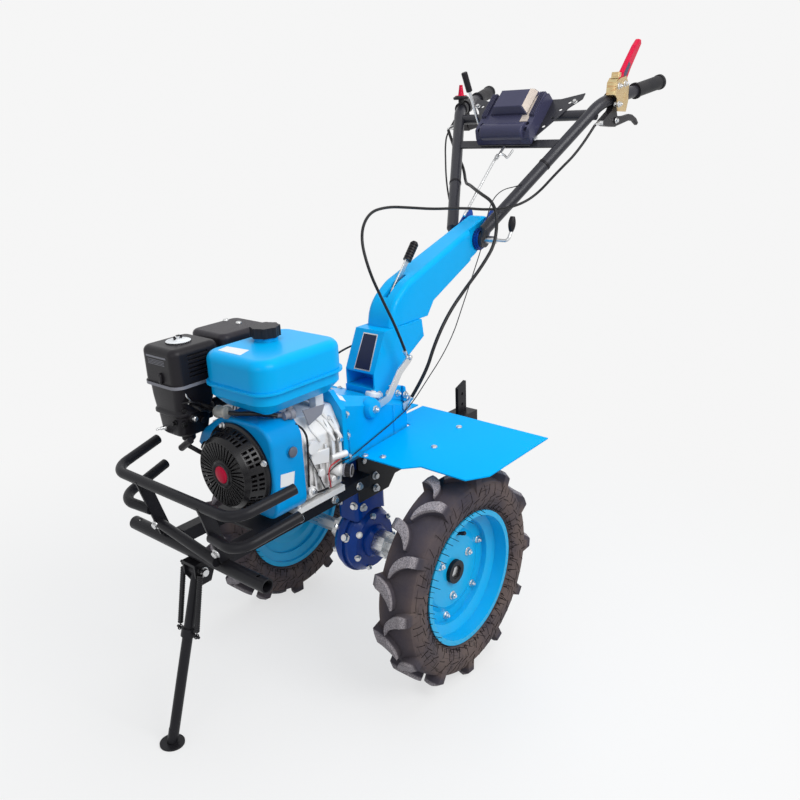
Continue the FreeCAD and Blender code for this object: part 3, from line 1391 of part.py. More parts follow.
def make_locking_crank():
    """The clamp's bolt with its sleeve, cranked rod and oval knob."""
    bolt = number("clamp_bolt_radius")
    across = FreeCAD.Vector(0, 1, 0)
    outside = clevis_outside() + number("tube_end_thick + running_gap")
    sleeve_end = outside + number("crank_sleeve_length")
    corner = sleeve_end + 38
    nut_length = 9
    shank = Part.makeCylinder(bolt, 2 * outside + nut_length,
                              point("clamp_x", str(-outside - nut_length), "clamp_z"),
                              across)
    nut = Part.makeCylinder(bolt + 4, nut_length,
                            point("clamp_x", str(-outside - nut_length), "clamp_z"), across)
    sleeve = Part.makeCylinder(number("crank_sleeve_radius"), number("crank_sleeve_length"),
                               point("clamp_x", str(outside), "clamp_z"), across)
    end = point("clamp_x - 14", str(corner + 2), "clamp_z + 26")
    spots = [point("clamp_x", str(sleeve_end - 4), "clamp_z"), point("clamp_x", str(corner), "clamp_z"), end]
    rod_shape = swept(bent_path(spots, 12), number("crank_rod_radius"))
    radius = number("crank_knob_radius")
    length = number("crank_knob_length")
    side = Part.Arc(FreeCAD.Vector(0.55 * radius, 0, 0), FreeCAD.Vector(radius, 0, 0.55 * length),
                    FreeCAD.Vector(0.6 * radius, 0, length)).toShape()
    lines = [Part.LineSegment(FreeCAD.Vector(), FreeCAD.Vector(0.55 * radius, 0, 0)).toShape(), side,
             Part.LineSegment(FreeCAD.Vector(0.6 * radius, 0, length),
                              FreeCAD.Vector(0, 0, length)).toShape(),
             Part.LineSegment(FreeCAD.Vector(0, 0, length), FreeCAD.Vector()).toShape()]
    knob = Part.Face(Part.Wire(lines)).revolve(FreeCAD.Vector(), FreeCAD.Vector(0, 0, 1), 360)
    way = (spots[2] - spots[1]).normalize()
    knob.Placement = FreeCAD.Placement(end - way * 3, FreeCAD.Rotation(FreeCAD.Vector(0, 0, 1),
                                                                        FreeCAD.Vector(-0.1, 0.05, 1)))
    crank = shank.multiFuse([nut, sleeve, rod_shape, knob]).removeSplitter()
    return finish(shaped("locking_crank", crank), "locking_crank")


def make_handle(plates):
    """The two handle tubes, the cross tube and flat bar between them, and the grips."""
    tubes = {}
    for side, name in ((1, "left"), (-1, "right")):
        outside = clevis_outside()
        tube = handle_tube(side).fuse(tube_end(side, outside))
        tube = tube.cut(Part.makeCompound([*plates, bolt_room(side, outside)]))
        tube = max(tube.Solids, key=lambda solid: solid.Volume)
        tubes[name] = tube
        finish(shaped(f"{name}_handle_tube", tube), f"{name}_handle_tube")
    room = [swept(bent_path(spots, number("handle_bend")), number("handle_tube_radius"))
            for spots in ([point(*HANDLE_START), point(*HANDLE_BEND), point(*HANDLE_END)],
                          mirrored([point(*HANDLE_START), point(*HANDLE_BEND), point(*HANDLE_END)]))]
    cross = Part.makeCylinder(number("cross_tube_radius_rear"), 460, FreeCAD.Vector(-774.1, -230, 1009.75),
                              FreeCAD.Vector(0, 1, 0))
    bar = Part.makeBox(5, 360, 26, FreeCAD.Vector(-2.5, -180, -13))
    bar.rotate(FreeCAD.Vector(), FreeCAD.Vector(0, 1, 0), -46)
    bar.translate(FreeCAD.Vector(-692, 0, 940))
    pieces = []
    for piece in (cross, bar):
        rest = piece.cut(Part.makeCompound(room))
        pieces.append(max(rest.Solids, key=lambda solid: solid.Volume))
    finish(shaped("handle_cross_tube", pieces[0]), "handle_cross_tube")
    finish(shaped("handle_cross_bar", pieces[1]), "handle_cross_bar")

    end = point(*HANDLE_END)
    way = (end - point(*HANDLE_BEND)).normalize()
    length = number("grip_length")
    tube_radius = number("handle_tube_radius + running_gap / 3")
    outer = number("grip_radius + 1.5")
    start = end + way * (6 - length)
    sleeve = Part.makeCylinder(outer, length, start, way)
    sleeve = sleeve.cut(Part.makeCylinder(tube_radius, length - 5.9, start, way))
    collar = Part.makeCylinder(outer + 3, 6, start, way).cut(Part.makeCylinder(tube_radius, 6, start, way))
    cuff = Part.makeCylinder(outer + 2, 8, end + way * (-2), way)
    grip = sleeve.multiFuse([collar, cuff]).cut(
        Part.makeCylinder(tube_radius, length - 5.9, start, way)).removeSplitter()
    other = grip.mirror(FreeCAD.Vector(), FreeCAD.Vector(0, 1, 0))
    finish(shaped("handle_grips", Part.makeCompound([grip, other])), "handle_grips")


PANEL_ORIGIN = ("-680", "0", "944")
PANEL_SLOPE = FreeCAD.Vector(-0.7240, 0, 0.6898)


def panel_placement():
    """The control panel's own axes: x up its slope, z out of its face."""
    face = FreeCAD.Vector(PANEL_SLOPE.z, 0, -PANEL_SLOPE.x)
    turn_to = FreeCAD.Rotation(PANEL_SLOPE, face.cross(PANEL_SLOPE), face, "ZXY")
    return FreeCAD.Placement(point(*PANEL_ORIGIN), turn_to)


def prism(corners, low, high):
    """A solid between two heights across the panel, of an outline in its length and depth."""
    spots = [FreeCAD.Vector(along, low, out) for along, out in corners]
    return Part.Face(Part.makePolygon(spots + spots[:1])).extrude(FreeCAD.Vector(0, high - low, 0))


def make_control_panel():
    """The perforated plate between the handles and the moulded box on it."""
    plate = new_body("panel_plate_sheet")
    extrude(plate, "XY", "-panel_plate_thick", "0", [
        ("-8", "-84"), ("30", "-92"), ("128", "-150"), ("158", "-178"), ("178", "-178"), ("160", "-112"),
        ("160", "112"), ("178", "178"), ("158", "178"), ("128", "150"), ("30", "92"), ("-8", "84")])
    cut_through(plate, "XY", circles=[(along, f"{side} * ({out})", "5") for side in (1, -1)
                                      for along,
                                      out in (("60", "98"), ("90", "114"), ("120", "126"), ("146", "144"))])
    plate.Placement = panel_placement()
    finish(plate, "panel_bracket")

    low = number("running_gap")
    half = number("panel_width") / 2
    thick = number("panel_thick")
    side = half - number("panel_side_margin")
    base = prism([(-6, low), (156, low), (152, thick * 0.5), (126, thick * 0.62), (12, thick * 0.62),
                  (-2, thick * 0.3)], -half, half)
    base = base.makeFillet(7, [edge for edge in base.Edges if edge.BoundBox.ZMin > low + 1
                               and edge.BoundBox.YLength > half])
    block = prism([(62, low + 4), (154, low + 4), (150, thick * 0.8), (136, thick), (74, thick),
                   (66, thick * 0.7)],
                  -side, side)
    leans = [Part.makeBox(200, 60, 90, FreeCAD.Vector(40, 0, 0)) for _ in range(2)]
    for slope, way in zip(leans, (1, -1)):
        slope.Placement = FreeCAD.Placement(FreeCAD.Vector(0, way * (side - 2) - (60 if way < 0 else 0),
                                                           thick * 0.5),
                                            FreeCAD.Rotation(FreeCAD.Vector(1, 0, 0), way * 32),
                                            FreeCAD.Vector(0, 60 if way < 0 else 0, 0))
        block = block.cut(slope)
    block = block.makeFillet(3, [edge for edge in block.Edges if edge.BoundBox.ZMin > thick - 1])
    roll = Part.makeCylinder(thick * 0.36, 2 * side + 6, FreeCAD.Vector(16, -side - 3, thick * 0.42),
                             FreeCAD.Vector(0, 1, 0))
    roll = roll.makeFillet(6, [edge for edge in roll.Edges if edge.Curve.TypeId == "Part::GeomCircle"])
    case = base.multiFuse([block, roll])
    fins = []
    for way in (1, -1):
        for index in range(4):
            across = way * (side + 5 + index * 4.6)
            fins.append(prism([(44, thick * 0.4), (150, thick * 0.4), (144, thick * 0.72),
                               (60, thick * 0.72)],
                              across - 1, across + 1))
        for along in (14, 32):
            case = case.cut(Part.makeCylinder(6, 20, FreeCAD.Vector(along, way * (half - 14), thick * 0.5)))
    case = case.multiFuse(fins).removeSplitter()
    item = shaped("control_panel", case.common(Part.makeBox(400, 400, 400, FreeCAD.Vector(-200, -200, low))))
    item.Placement = panel_placement()
    finish(item, "control_panel")


def flat_lever(root, spots, low, high):
    """A lever cut from plate: an outline in the machine's side view, between two distances across."""
    corners = [FreeCAD.Vector(root.x + along, low, root.z + up) for along, up in spots]
    return Part.Face(Part.makePolygon(corners + corners[:1])).extrude(FreeCAD.Vector(0, high - low, 0))


def make_levers():
    """The hand levers, the red release lever, the throttle and the shift lever."""
    end = point(*HANDLE_END)
    bend = point(*HANDLE_BEND)
    way = (end - bend).normalize()
    clearance = number("handle_tube_radius + control_clearance")
    centre = bend + way * number("hand_lever_at")
    clamp = Part.makeCylinder(number("hand_clamp_radius"), number("hand_clamp_length"), centre, way)
    block = flat_lever(centre, [(-2, -14), (8, -27), (60, -52), (61, -62), (38, -66), (-20, -70), (-36, -56),
                                (-24, -30),
                                (-20, -14)], centre.y - 5, centre.y + 13)
    block = block.makeFillet(3, [edge for edge in block.Edges if edge.BoundBox.YLength > 17])
    blade = flat_lever(centre, [
        (-10, -46), (-12, -64), (-36, -68), (-76, -62), (-114, -56), (-146, -58), (-172, -70), (-180, -64),
        (-164, -50), (-136, -40), (-114, -38), (-76, -42), (-36, -42), (-20, -38)],
        centre.y - 1, centre.y + 11)
    blade = blade.makeFillet(3.5, [edge for edge in blade.Edges
                                   if edge.BoundBox.YLength < 1 and edge.CenterOfMass.x < centre.x - 30])
    boss = Part.makeCylinder(9, 22, centre + FreeCAD.Vector(-18, -7, -53), FreeCAD.Vector(0, 1, 0))
    ferrule = Part.makeCone(6, 4, 28, centre + FreeCAD.Vector(57, 2.6, -56), FreeCAD.Vector(0.9, 0, -0.18))
    lever = clamp.multiFuse([block, blade, boss, ferrule]).cut(
        Part.makeCylinder(clearance, 200, bend, way)).removeSplitter()
    levers = [lever, lever.mirror(FreeCAD.Vector(), FreeCAD.Vector(0, 1, 0))]
    finish(shaped("hand_levers", Part.makeCompound(levers)), "hand_levers")

    seat = bend + way * number("release_ring_at")
    ring_radius = number("release_ring_radius")
    wall = number("release_plate_wall")
    ring = Part.makeCylinder(ring_radius, number("release_ring_length"), seat, way)
    cheek = flat_lever(seat,
                       [(30, -34), (-22, -36), (-34, -8), (-34, 34), (-14, 56), (20, 50), (44, 42), (48, 6),
                              (34, -4)], seat.y + ring_radius - wall + 0.5, seat.y + ring_radius + 0.5)
    lug = flat_lever(seat, [(0, 16), (-26, 16), (-30, 34), (-14, 56), (2, 50)], seat.y - 10, seat.y + 5)
    ring = ring.multiFuse([cheek, lug]).cut(Part.makeCylinder(clearance, 300, bend, way)).removeSplitter()
    finish(shaped("release_bracket", ring), "release_bracket")
    root = seat + FreeCAD.Vector(-10, 5.3, 43)
    red = flat_lever(root,
                     [(10, -12), (22, 4), (4, 26), (-34, 62), (-66, 92), (-90, 109), (-102, 108), (-105, 96),
                            (-84, 74), (-42, 30), (-16, -4), (-6, -14)], root.y,
                            root.y + number("release_lever_thick"))
    red = red.makeFillet(4, [edge for edge in red.Edges
                             if edge.BoundBox.YLength < 1 and edge.CenterOfMass.x < root.x - 18])
    finish(shaped("release_lever", red), "release_lever")

    seat = (FreeCAD.Vector(bend.x, -bend.y, bend.z)
            + FreeCAD.Vector(way.x, -way.y, way.z) * number("throttle_ring_at"))
    back = FreeCAD.Vector(way.x, -way.y, way.z)
    ring = Part.makeCylinder(number("throttle_ring_radius"), number("throttle_ring_length"), seat, back)
    disc_corners = [(0, 0), (22, 0), (24, 3), (24, 7), (20, 9), (17, 12), (9, 13), (8, 19), (5, 42), (0, 42)]
    spots = [FreeCAD.Vector(across, 0, up) for across, up in disc_corners]
    knob = Part.Face(Part.makePolygon(spots + spots[:1])).revolve(
        FreeCAD.Vector(), FreeCAD.Vector(0, 0, 1), 360)
    knob.translate(seat + FreeCAD.Vector(-2, 0, 28))
    post = Part.makeBox(12, 12, 16, seat + FreeCAD.Vector(-8, -6, 15))
    right_tube = swept(bent_path(mirrored([point(*HANDLE_START), bend, end]), number("handle_bend")),
                       clearance)
    solid = ring.multiFuse([knob, post]).removeSplitter().cut(right_tube)
    finish(shaped("throttle_lever", solid), "throttle_lever")

    foot = point("-736", "-124", "992")
    head = point("-684", "-140", "1138")
    way = (head - foot).normalize()
    stem = Part.makeCylinder(4.5, (head - foot).Length - 50, foot, way)
    knob = Part.makeCylinder(9, 56, head - way * 56, way)
    knob = knob.makeFillet(3, [edge for edge in knob.Edges if edge.Curve.TypeId == "Part::GeomCircle"])
    finish(shaped("shift_lever", stem.fuse(knob).removeSplitter()), "shift_lever")

    spots = [point("-677", "0", "934"), point("-648", "0", "912"), point("-622", "0", "898"),
             point("-474", "0", "766")]
    rod_shape = swept(bent_path(spots, 10), 4)
    finish(shaped("shift_rod", rod_shape), "shift_rod")


def cable(label, spots):
    """A flexible cable along its real route: straight runs joined by arcs as wide as the runs allow."""
    diameter = number(f"{label}_across")
    least = diameter * number("least_cable_bend")
    line = [FreeCAD.Vector(*spot) for spot in spots]
    edges = []
    last = line[0]
    radii = []
    for before, corner, after in zip(line, line[1:], line[2:]):
        into = (corner - before).normalize()
        out = (after - corner).normalize()
        half_turn = into.getAngle(out) / 2
        reach = 0.45 * min(before.distanceToPoint(corner), corner.distanceToPoint(after))
        radius = reach / math.tan(half_turn)
        radii.append(round(radius))
        if radius < least:
            raise RuntimeError(f"{label} bends too tightly: {radius:.0f} mm")
        start = corner - into * reach
        finish_at = corner + out * reach
        centre_way = (out - into).normalize()
        middle = corner + centre_way * (radius / math.cos(half_turn) - radius)
        edges.append(Part.LineSegment(last, start).toShape())
        edges.append(Part.Arc(start, middle, finish_at).toShape())
        last = finish_at
    edges.append(Part.LineSegment(last, line[-1]).toShape())
    print(f"{label}: bend radii {radii} mm")
    return finish(shaped(label, swept(Part.Wire(edges), diameter / 2)), label)


# ---- Cables -----------------------------------------------------------------------------------

def make_cables():
    """The Bowden cables from the hand levers down to what they pull."""
    cable("drive_cable", [
        (-742.4, -241.2, 981.4), (-712, -196, 922), (-669, -135, 879), (-611, -88, 837), (-547, -32, 842),
        (-492, 33, 829), (-460, 113, 802), (-444, 124, 711), (-380, 122, 656), (-306, 120, 611),
        (-236, 117, 562), (-180, 113, 497), (-150, 102, 418), (-121, 67, 346)])
    cable("clutch_cable", [
        (-741.9, 242.4, 982.2), (-691, 227, 923), (-642, 188, 869), (-601, 147, 810), (-541, 117, 786),
        (-464, 88, 786), (-390, 51, 798), (-314, 19, 802), (-234, 3, 814), (-152, 2, 825), (-70, 13, 821),
        (-8, 39, 778), (-1, 66, 702), (-29, 81, 626), (-67, 87, 553), (-102.5, 85, 478.6)])
    cable("throttle_cable", [
        (-804, -250, 1023), (-774, -270, 974), (-731, -246, 933), (-689, -215, 898), (-648, -185, 860),
        (-615, -156, 815), (-588, -125, 767), (-559, -96, 719), (-518, -83, 673), (-474, -76, 629),
        (-429, -70, 585), (-378, -65, 547), (-322, -63, 519), (-262, -62, 500), (-199, -62, 492),
        (-136, -61, 493), (-73, -58, 494), (-10, -52, 491), (51, -39, 482), (110, -23, 470),
        (170.9, -10, 462.2)])


# ---- Checks and export ------------------------------------------------------------------------

def check_and_export():
    """Refuses a failed object or a bad shape, then writes one STEP file for each sub-part."""
    document.recompute()
    for item in document.Objects:
        if "Invalid" in item.State or "Error" in item.State:
            raise RuntimeError(f"{item.Name} failed: {item.State}")
    for sub_part in finished:
        shape = sub_part.Shape
        if shape.isNull() or not shape.isValid():
            raise RuntimeError(f"{sub_part.Label} has a bad shape")
    os.makedirs("parts", exist_ok=True)
    for sub_part in finished:
        sub_part.Shape.exportStep(f"parts/{sub_part.Label}.step")


make_wheels()
make_final_drive()
make_gear_column()
make_gearbox()
make_crankcase()
cylinder = make_cylinder()
make_fan_shroud()
make_recoil_starter()
make_starter_grip()
make_fuel_tank()
make_fuel_cap()
make_air_filter()
make_carburettor()
make_muffler(cylinder)
make_engine_frame()
make_cross_tube()
make_guard()
make_stand()
make_fenders()
make_fender_brackets()
make_hitch()
make_clutch_lever()
make_handle_seat()
make_column_cover()
make_gear_lever()
clevis_plates = make_clamp()
make_locking_crank()
make_handle(clevis_plates)
make_control_panel()
make_levers()
make_cables()
check_and_export()
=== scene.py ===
"""A walking power weeder: finishes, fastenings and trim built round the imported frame."""
import json
import logging
import math
from collections.abc import Callable, Sequence
from dataclasses import dataclass, field
from enum import Enum

import bmesh
import bpy
from mathutils import Matrix, Vector
from mathutils.bvhtree import BVHTree


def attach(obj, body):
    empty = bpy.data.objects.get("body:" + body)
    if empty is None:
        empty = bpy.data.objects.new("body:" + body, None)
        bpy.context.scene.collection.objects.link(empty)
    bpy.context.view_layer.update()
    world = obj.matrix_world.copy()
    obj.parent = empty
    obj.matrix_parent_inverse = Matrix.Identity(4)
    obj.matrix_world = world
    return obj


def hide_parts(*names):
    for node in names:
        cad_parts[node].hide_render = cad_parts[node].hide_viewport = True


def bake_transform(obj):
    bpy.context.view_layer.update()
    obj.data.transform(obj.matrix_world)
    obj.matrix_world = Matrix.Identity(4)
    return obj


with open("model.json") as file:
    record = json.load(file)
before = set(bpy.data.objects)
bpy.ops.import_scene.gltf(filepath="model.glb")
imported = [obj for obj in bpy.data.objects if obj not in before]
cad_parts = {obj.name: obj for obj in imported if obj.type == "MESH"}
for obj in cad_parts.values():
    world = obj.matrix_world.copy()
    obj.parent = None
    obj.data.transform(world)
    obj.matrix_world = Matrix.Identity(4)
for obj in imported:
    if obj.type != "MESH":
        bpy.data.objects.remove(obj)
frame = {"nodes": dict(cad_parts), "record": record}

log = logging.getLogger("weeder")

Spot = tuple[float, float, float]
Outline = list[tuple[float, float]]
Socket = bpy.types.NodeSocket
Node = bpy.types.Node

MM = 0.001
LEAN = math.radians(5.25)
AXLE: Spot = (0.157, 0.0, 0.262)
# The machine's own millimetres from the axle's middle, leaning as it stands: x forward, y left, z up.
MACHINE = Matrix.Translation(AXLE) @ Matrix.Rotation(LEAN, 4, "Y") @ Matrix.Diagonal((MM, MM, MM, 1.0))
# The control panel's millimetres: x up its slope, z out of its face.
PANEL = MACHINE @ Matrix(((-0.7240, 0.0, 0.6898, -680.0), (0.0, -1.0, 0.0, 0.0),
                          (0.6898, 0.0, 0.7240, 944.0), (0.0, 0.0, 0.0, 1.0)))
# How far the foot of a fastening and of a label stands inside its seat, in millimetres.
SUNK = 0.4
LABEL_SUNK = 0.3
# Edges that turn less than this stay as they are when a piece is given rounded edges.
BEVEL_TURN = math.radians(40)


def linear(red: int, green: int, blue: int) -> Spot:
    """A colour of the scene from its usual 0 to 255 numbers.

    Args:
        red: The red part.
        green: The green part.
        blue: The blue part.

    Returns:
        The three parts as linear light.
    """
    parts = (value / 255 for value in (red, green, blue))
    return tuple(part / 12.92 if part <= 0.04045 else ((part + 0.055) / 1.055) ** 2.4 for part in parts)


def facing(at: Spot, way: Spot, roll: float = 0.0) -> Matrix:
    """A frame at a place, its z axis along a direction.

    Args:
        at: Where the frame stands.
        way: What its z axis points along.
        roll: A turn about that axis, in degrees.

    Returns:
        The frame as a matrix.
    """
    turn = Vector((0, 0, 1)).rotation_difference(Vector(way)).to_matrix().to_4x4()
    return Matrix.Translation(at) @ turn @ Matrix.Rotation(math.radians(roll), 4, "Z")


def upright(origin: Spot | Vector = (0, 0, 0)) -> Matrix:
    """A frame at a place for outlines seen from the side: x forward, y up and z to the left."""
    return Matrix(((1, 0, 0, origin[0]), (0, 0, 1, origin[1]), (0, 1, 0, origin[2]), (0, 0, 0, 1)))


def polar(radius: float, angle: float, height: float = 0.0) -> Vector:
    """The point at a radius and an angle about z, and at a height."""
    return Vector((radius * math.cos(angle), radius * math.sin(angle), height))


def boss(radius: float, foot: float, top: float, cut: float = 0.0) -> Outline:
    """The profile of a round boss between two heights, its top edge cut off at a slant."""
    edge = [(radius, top - cut), (radius - cut, top)] if cut else [(radius, top)]
    return [(0, foot), (radius, foot), *edge, (0, top)]


def placed(name: str, data: bpy.types.ID) -> bpy.types.Object:
    """Puts some data into the scene.

    Args:
        name: The new object's name.
        data: Its mesh, lamp or camera.

    Returns:
        The object.
    """
    made = bpy.data.objects.new(name, data)
    bpy.context.scene.collection.objects.link(made)
    return made


# ---- Shader graphs ----------------------------------------------------------------------------

class Graph:
    """A node tree being written."""

    def __init__(self, tree: bpy.types.NodeTree) -> None:
        """Starts on a tree, emptied of its nodes."""
        self.tree = tree
        tree.nodes.clear()

    def add(self, kind: str, inputs: dict | None = None, **settings: object) -> Node:
        """Adds a node.

        Args:
            kind: The node's type, without its "ShaderNode".
            inputs: A value or another node's output for each named or numbered input.
            settings: The node's own settings.

        Returns:
            The node.
        """
        node = self.tree.nodes.new("ShaderNode" + kind)
        for name, value in settings.items():
            setattr(node, name, value)
        for name, value in (inputs or {}).items():
            if isinstance(value, Socket):
                self.tree.links.new(value, node.inputs[name])
            else:
                if isinstance(value, tuple) and len(value) == 3 and node.inputs[name].type == "RGBA":
                    value = (*value, 1.0)
                node.inputs[name].default_value = value
        return node

    def maths(self, operation: str, first: object, second: object = 0.0, third: object = 0.0) -> Socket:
        """Works on two or three numbers, and holds the result between 0 and 1 if it's named CLAMPED_."""
        return self.add("Math", {0: first, 1: second, 2: third}, operation=operation.removeprefix("CLAMPED_"),
                        use_clamp=operation.startswith("CLAMPED_")).outputs[0]

    def mix(self, share: object, first: object, second: object) -> Socket:
        """A colour between two others."""
        return self.add("Mix", {0: share, 6: first, 7: second}, data_type="RGBA").outputs[2]

    def ramp(self, value: object, low: float, high: float, start: float = 0.0, end: float = 1.0) -> Socket:
        """A number carried smoothly from one range to another."""
        node = self.add("MapRange", {0: value, 1: low, 2: high, 3: start, 4: end},
                        interpolation_type="SMOOTHSTEP")
        return node.outputs[0]

    def noise(self, scale: object, detail: float = 3.0, vector: object = None) -> Socket:
        """A noise value in the object's own space."""
        place = vector if vector is not None else self.add("TexCoord").outputs["Object"]
        return self.add("TexNoise", {"Scale": scale, "Detail": detail, "Vector": place}).outputs[0]

    def seen(self) -> Socket:
        """Whether a ray comes from the camera, straight or by way of gloss or clear plastic."""
        path = self.add("LightPath").outputs
        return self.maths("MAXIMUM", path["Is Camera Ray"],
                          self.maths("MAXIMUM", path["Is Glossy Ray"], path["Is Transmission Ray"]))


class Effect(Enum):
    """The shader groups that several finishes share."""

    TONE = "tone"
    DUST = "settled dust"
    WEAR = "rubbed edges"
    PEEL = "paint and cast grain"
    STREAKS = "drawn streaks"
    GRIME_AND_SHADE = "grime and painted shade in corners"


def new_group(effect: Effect, inputs: dict[str, float], outputs: list[str]) -> tuple[Graph, Node, Node]:
    """Starts a shader group.

    Args:
        effect: Which effect it makes.
        inputs: The name and usual value of each input.
        outputs: The names of its number outputs.

    Returns:
        Its graph, its input node and its output node.
    """
    tree = bpy.data.node_groups.new(effect.value, "ShaderNodeTree")
    graph = Graph(tree)
    for name, value in inputs.items():
        tree.interface.new_socket(name, in_out="INPUT", socket_type="NodeSocketFloat").default_value = value
    for name in outputs:
        tree.interface.new_socket(name, in_out="OUTPUT", socket_type="NodeSocketFloat")
    return graph, tree.nodes.new("NodeGroupInput"), tree.nodes.new("NodeGroupOutput")


class Effects:
    """Builds each shared shader group once and places it in the finishes."""

    made: dict[Effect, bpy.types.NodeTree] = {}

    @classmethod
    def group(cls, effect: Effect) -> bpy.types.NodeTree:
        """The group of an effect, built when first asked for.

        Args:
            effect: The effect.

        Returns:
            Its group.
        """
        if effect not in cls.made:
            builder = {Effect.TONE: cls.tone, Effect.DUST: cls.dust, Effect.WEAR: cls.wear,
                       Effect.PEEL: cls.peel, Effect.STREAKS: cls.streaks, Effect.GRIME_AND_SHADE: cls.grime_and_shade}[effect]
            cls.made[effect] = builder()
        return cls.made[effect]

    @classmethod
    def place(cls, graph: Graph, effect: Effect, **values: float) -> Socket:
        """Puts a group in a material.

        Args:
            graph: The material's graph.
            effect: The group wanted.
            values: Its inputs, by their names.

        Returns:
            The group's output.
        """
        return graph.add("Group", values, node_tree=cls.group(effect)).outputs[0]

    @staticmethod
    def tone() -> bpy.types.NodeTree:
        """Slow changes of shade over a surface, as a factor round one.

        Returns:
            The group.
        """
        graph, given, out = new_group(Effect.TONE, {"Scale": 6.0, "Spread": 0.1}, ["Factor"])
        broad = graph.noise(given.outputs["Scale"], 4.0)
        fine = graph.noise(graph.maths("MULTIPLY", given.outputs["Scale"], 9.0), 2.0)
        both = graph.maths("ADD", graph.maths("MULTIPLY", broad, 0.7), graph.maths("MULTIPLY", fine, 0.3))
        shift = graph.maths("MULTIPLY", graph.maths("SUBTRACT", both, 0.5), given.outputs["Spread"])
        graph.tree.links.new(graph.maths("MULTIPLY_ADD", shift, 2.0, 1.0), out.inputs[0])
        return graph.tree

    @staticmethod
    def dust() -> bpy.types.NodeTree:
        """Dust that lies on what faces up and clings lower down, as a mask.

        Returns:
            The group.
        """
        graph, given, out = new_group(Effect.DUST, {"Amount": 0.3, "Scale": 14.0}, ["Mask"])
        up = graph.add("SeparateXYZ", {0: graph.add("NewGeometry").outputs["Normal"]}).outputs[2]
        height = graph.add("SeparateXYZ", {0: graph.add("TexCoord").outputs["Object"]}).outputs[2]
        lies = graph.maths("ADD", graph.ramp(up, -0.2, 1.0, 0.25, 0.8),
                           graph.ramp(height, 0.0, 0.6, 0.6, 0.0))
        patches = graph.ramp(graph.noise(given.outputs["Scale"], 6.0), 0.38, 0.7)
        mask = graph.maths("MULTIPLY", graph.maths("MULTIPLY", lies, patches), given.outputs["Amount"])
        graph.tree.links.new(graph.maths("CLAMPED_ADD", mask, 0.0), out.inputs[0])
        return graph.tree

    @staticmethod
    def wear() -> bpy.types.NodeTree:
        """Edges rubbed bright or bare, as a mask.

        Returns:
            The group.
        """
        graph, given, out = new_group(Effect.WEAR, {"Radius": 0.002, "Amount": 0.6}, ["Mask"])
        geometry = graph.add("NewGeometry")
        rounded = graph.add("Bevel", {"Radius": given.outputs["Radius"]}, samples=4)
        likeness = graph.add("VectorMath", {0: rounded.outputs[0], 1: geometry.outputs["Normal"]},
                             operation="DOT_PRODUCT")
        edge = graph.ramp(likeness.outputs["Value"], 0.995, 0.86)
        broken = graph.ramp(graph.noise(95.0, 5.0), 0.42, 0.62)
        mask = graph.maths("MULTIPLY", graph.maths("MULTIPLY", edge, broken), given.outputs["Amount"])
        graph.tree.links.new(mask, out.inputs[0])
        return graph.tree

    @staticmethod
    def peel() -> bpy.types.NodeTree:
        """The fine unevenness of paint or of a sand-cast skin, as a height.

        Returns:
            The group.
        """
        graph, given, out = new_group(Effect.PEEL, {"Scale": 600.0, "Depth": 1.0}, ["Height"])
        fine = graph.noise(given.outputs["Scale"], 3.0)
        slow = graph.noise(graph.maths("MULTIPLY", given.outputs["Scale"], 0.08), 2.0)
        both = graph.maths("ADD", fine, slow)
        graph.tree.links.new(graph.maths("MULTIPLY", both, given.outputs["Depth"]), out.inputs[0])
        return graph.tree

    @staticmethod
    def streaks() -> bpy.types.NodeTree:
        """The lines that drawing and turning leave on bright metal, as a value.

        Returns:
            The group.
        """
        graph, given, out = new_group(Effect.STREAKS, {"Scale": 40.0, "Length": 22.0}, ["Value"])
        place = graph.add("SeparateXYZ", {0: graph.add("TexCoord").outputs["Object"]})
        squeezed = graph.add("CombineXYZ", {
            0: graph.maths("MULTIPLY", place.outputs[0], given.outputs["Length"]),
            1: place.outputs[1],
            2: graph.maths("MULTIPLY", place.outputs[2], given.outputs["Length"])})
        lines = graph.noise(given.outputs["Scale"], 4.0, squeezed.outputs[0])
        graph.tree.links.new(lines, out.inputs[0])
        return graph.tree

    @staticmethod
    def grime_and_shade() -> bpy.types.NodeTree:
        """Grime and painted shade held where surfaces meet, as a mask: ambient occlusion darkens corners,
        creases and places between parts, where shade falls.

        Returns:
            The group.
        """
        graph, given, out = new_group(Effect.GRIME_AND_SHADE, {"Reach": 0.02, "Amount": 0.7}, ["Mask"])
        # Ambient occlusion: darker where shade falls in corners, creases and between parts.
        shade = graph.add("AmbientOcclusion", {"Distance": given.outputs["Reach"]}, samples=5)
        held = graph.ramp(shade.outputs["AO"], 0.85, 0.25)
        mottled = graph.ramp(graph.noise(55.0, 5.0), 0.25, 0.75, 0.35, 1.0)
        mask = graph.maths("MULTIPLY", graph.maths("MULTIPLY", held, mottled), given.outputs["Amount"])
        graph.tree.links.new(mask, out.inputs[0])
        return graph.tree


# ---- Finishes ---------------------------------------------------------------------------------

DUST_COLOUR = linear(150, 138, 122)
# The dark brown of the grime and of the painted shade in corners and creases.
GRIME_AND_SHADE_COLOUR = linear(38, 34, 30)


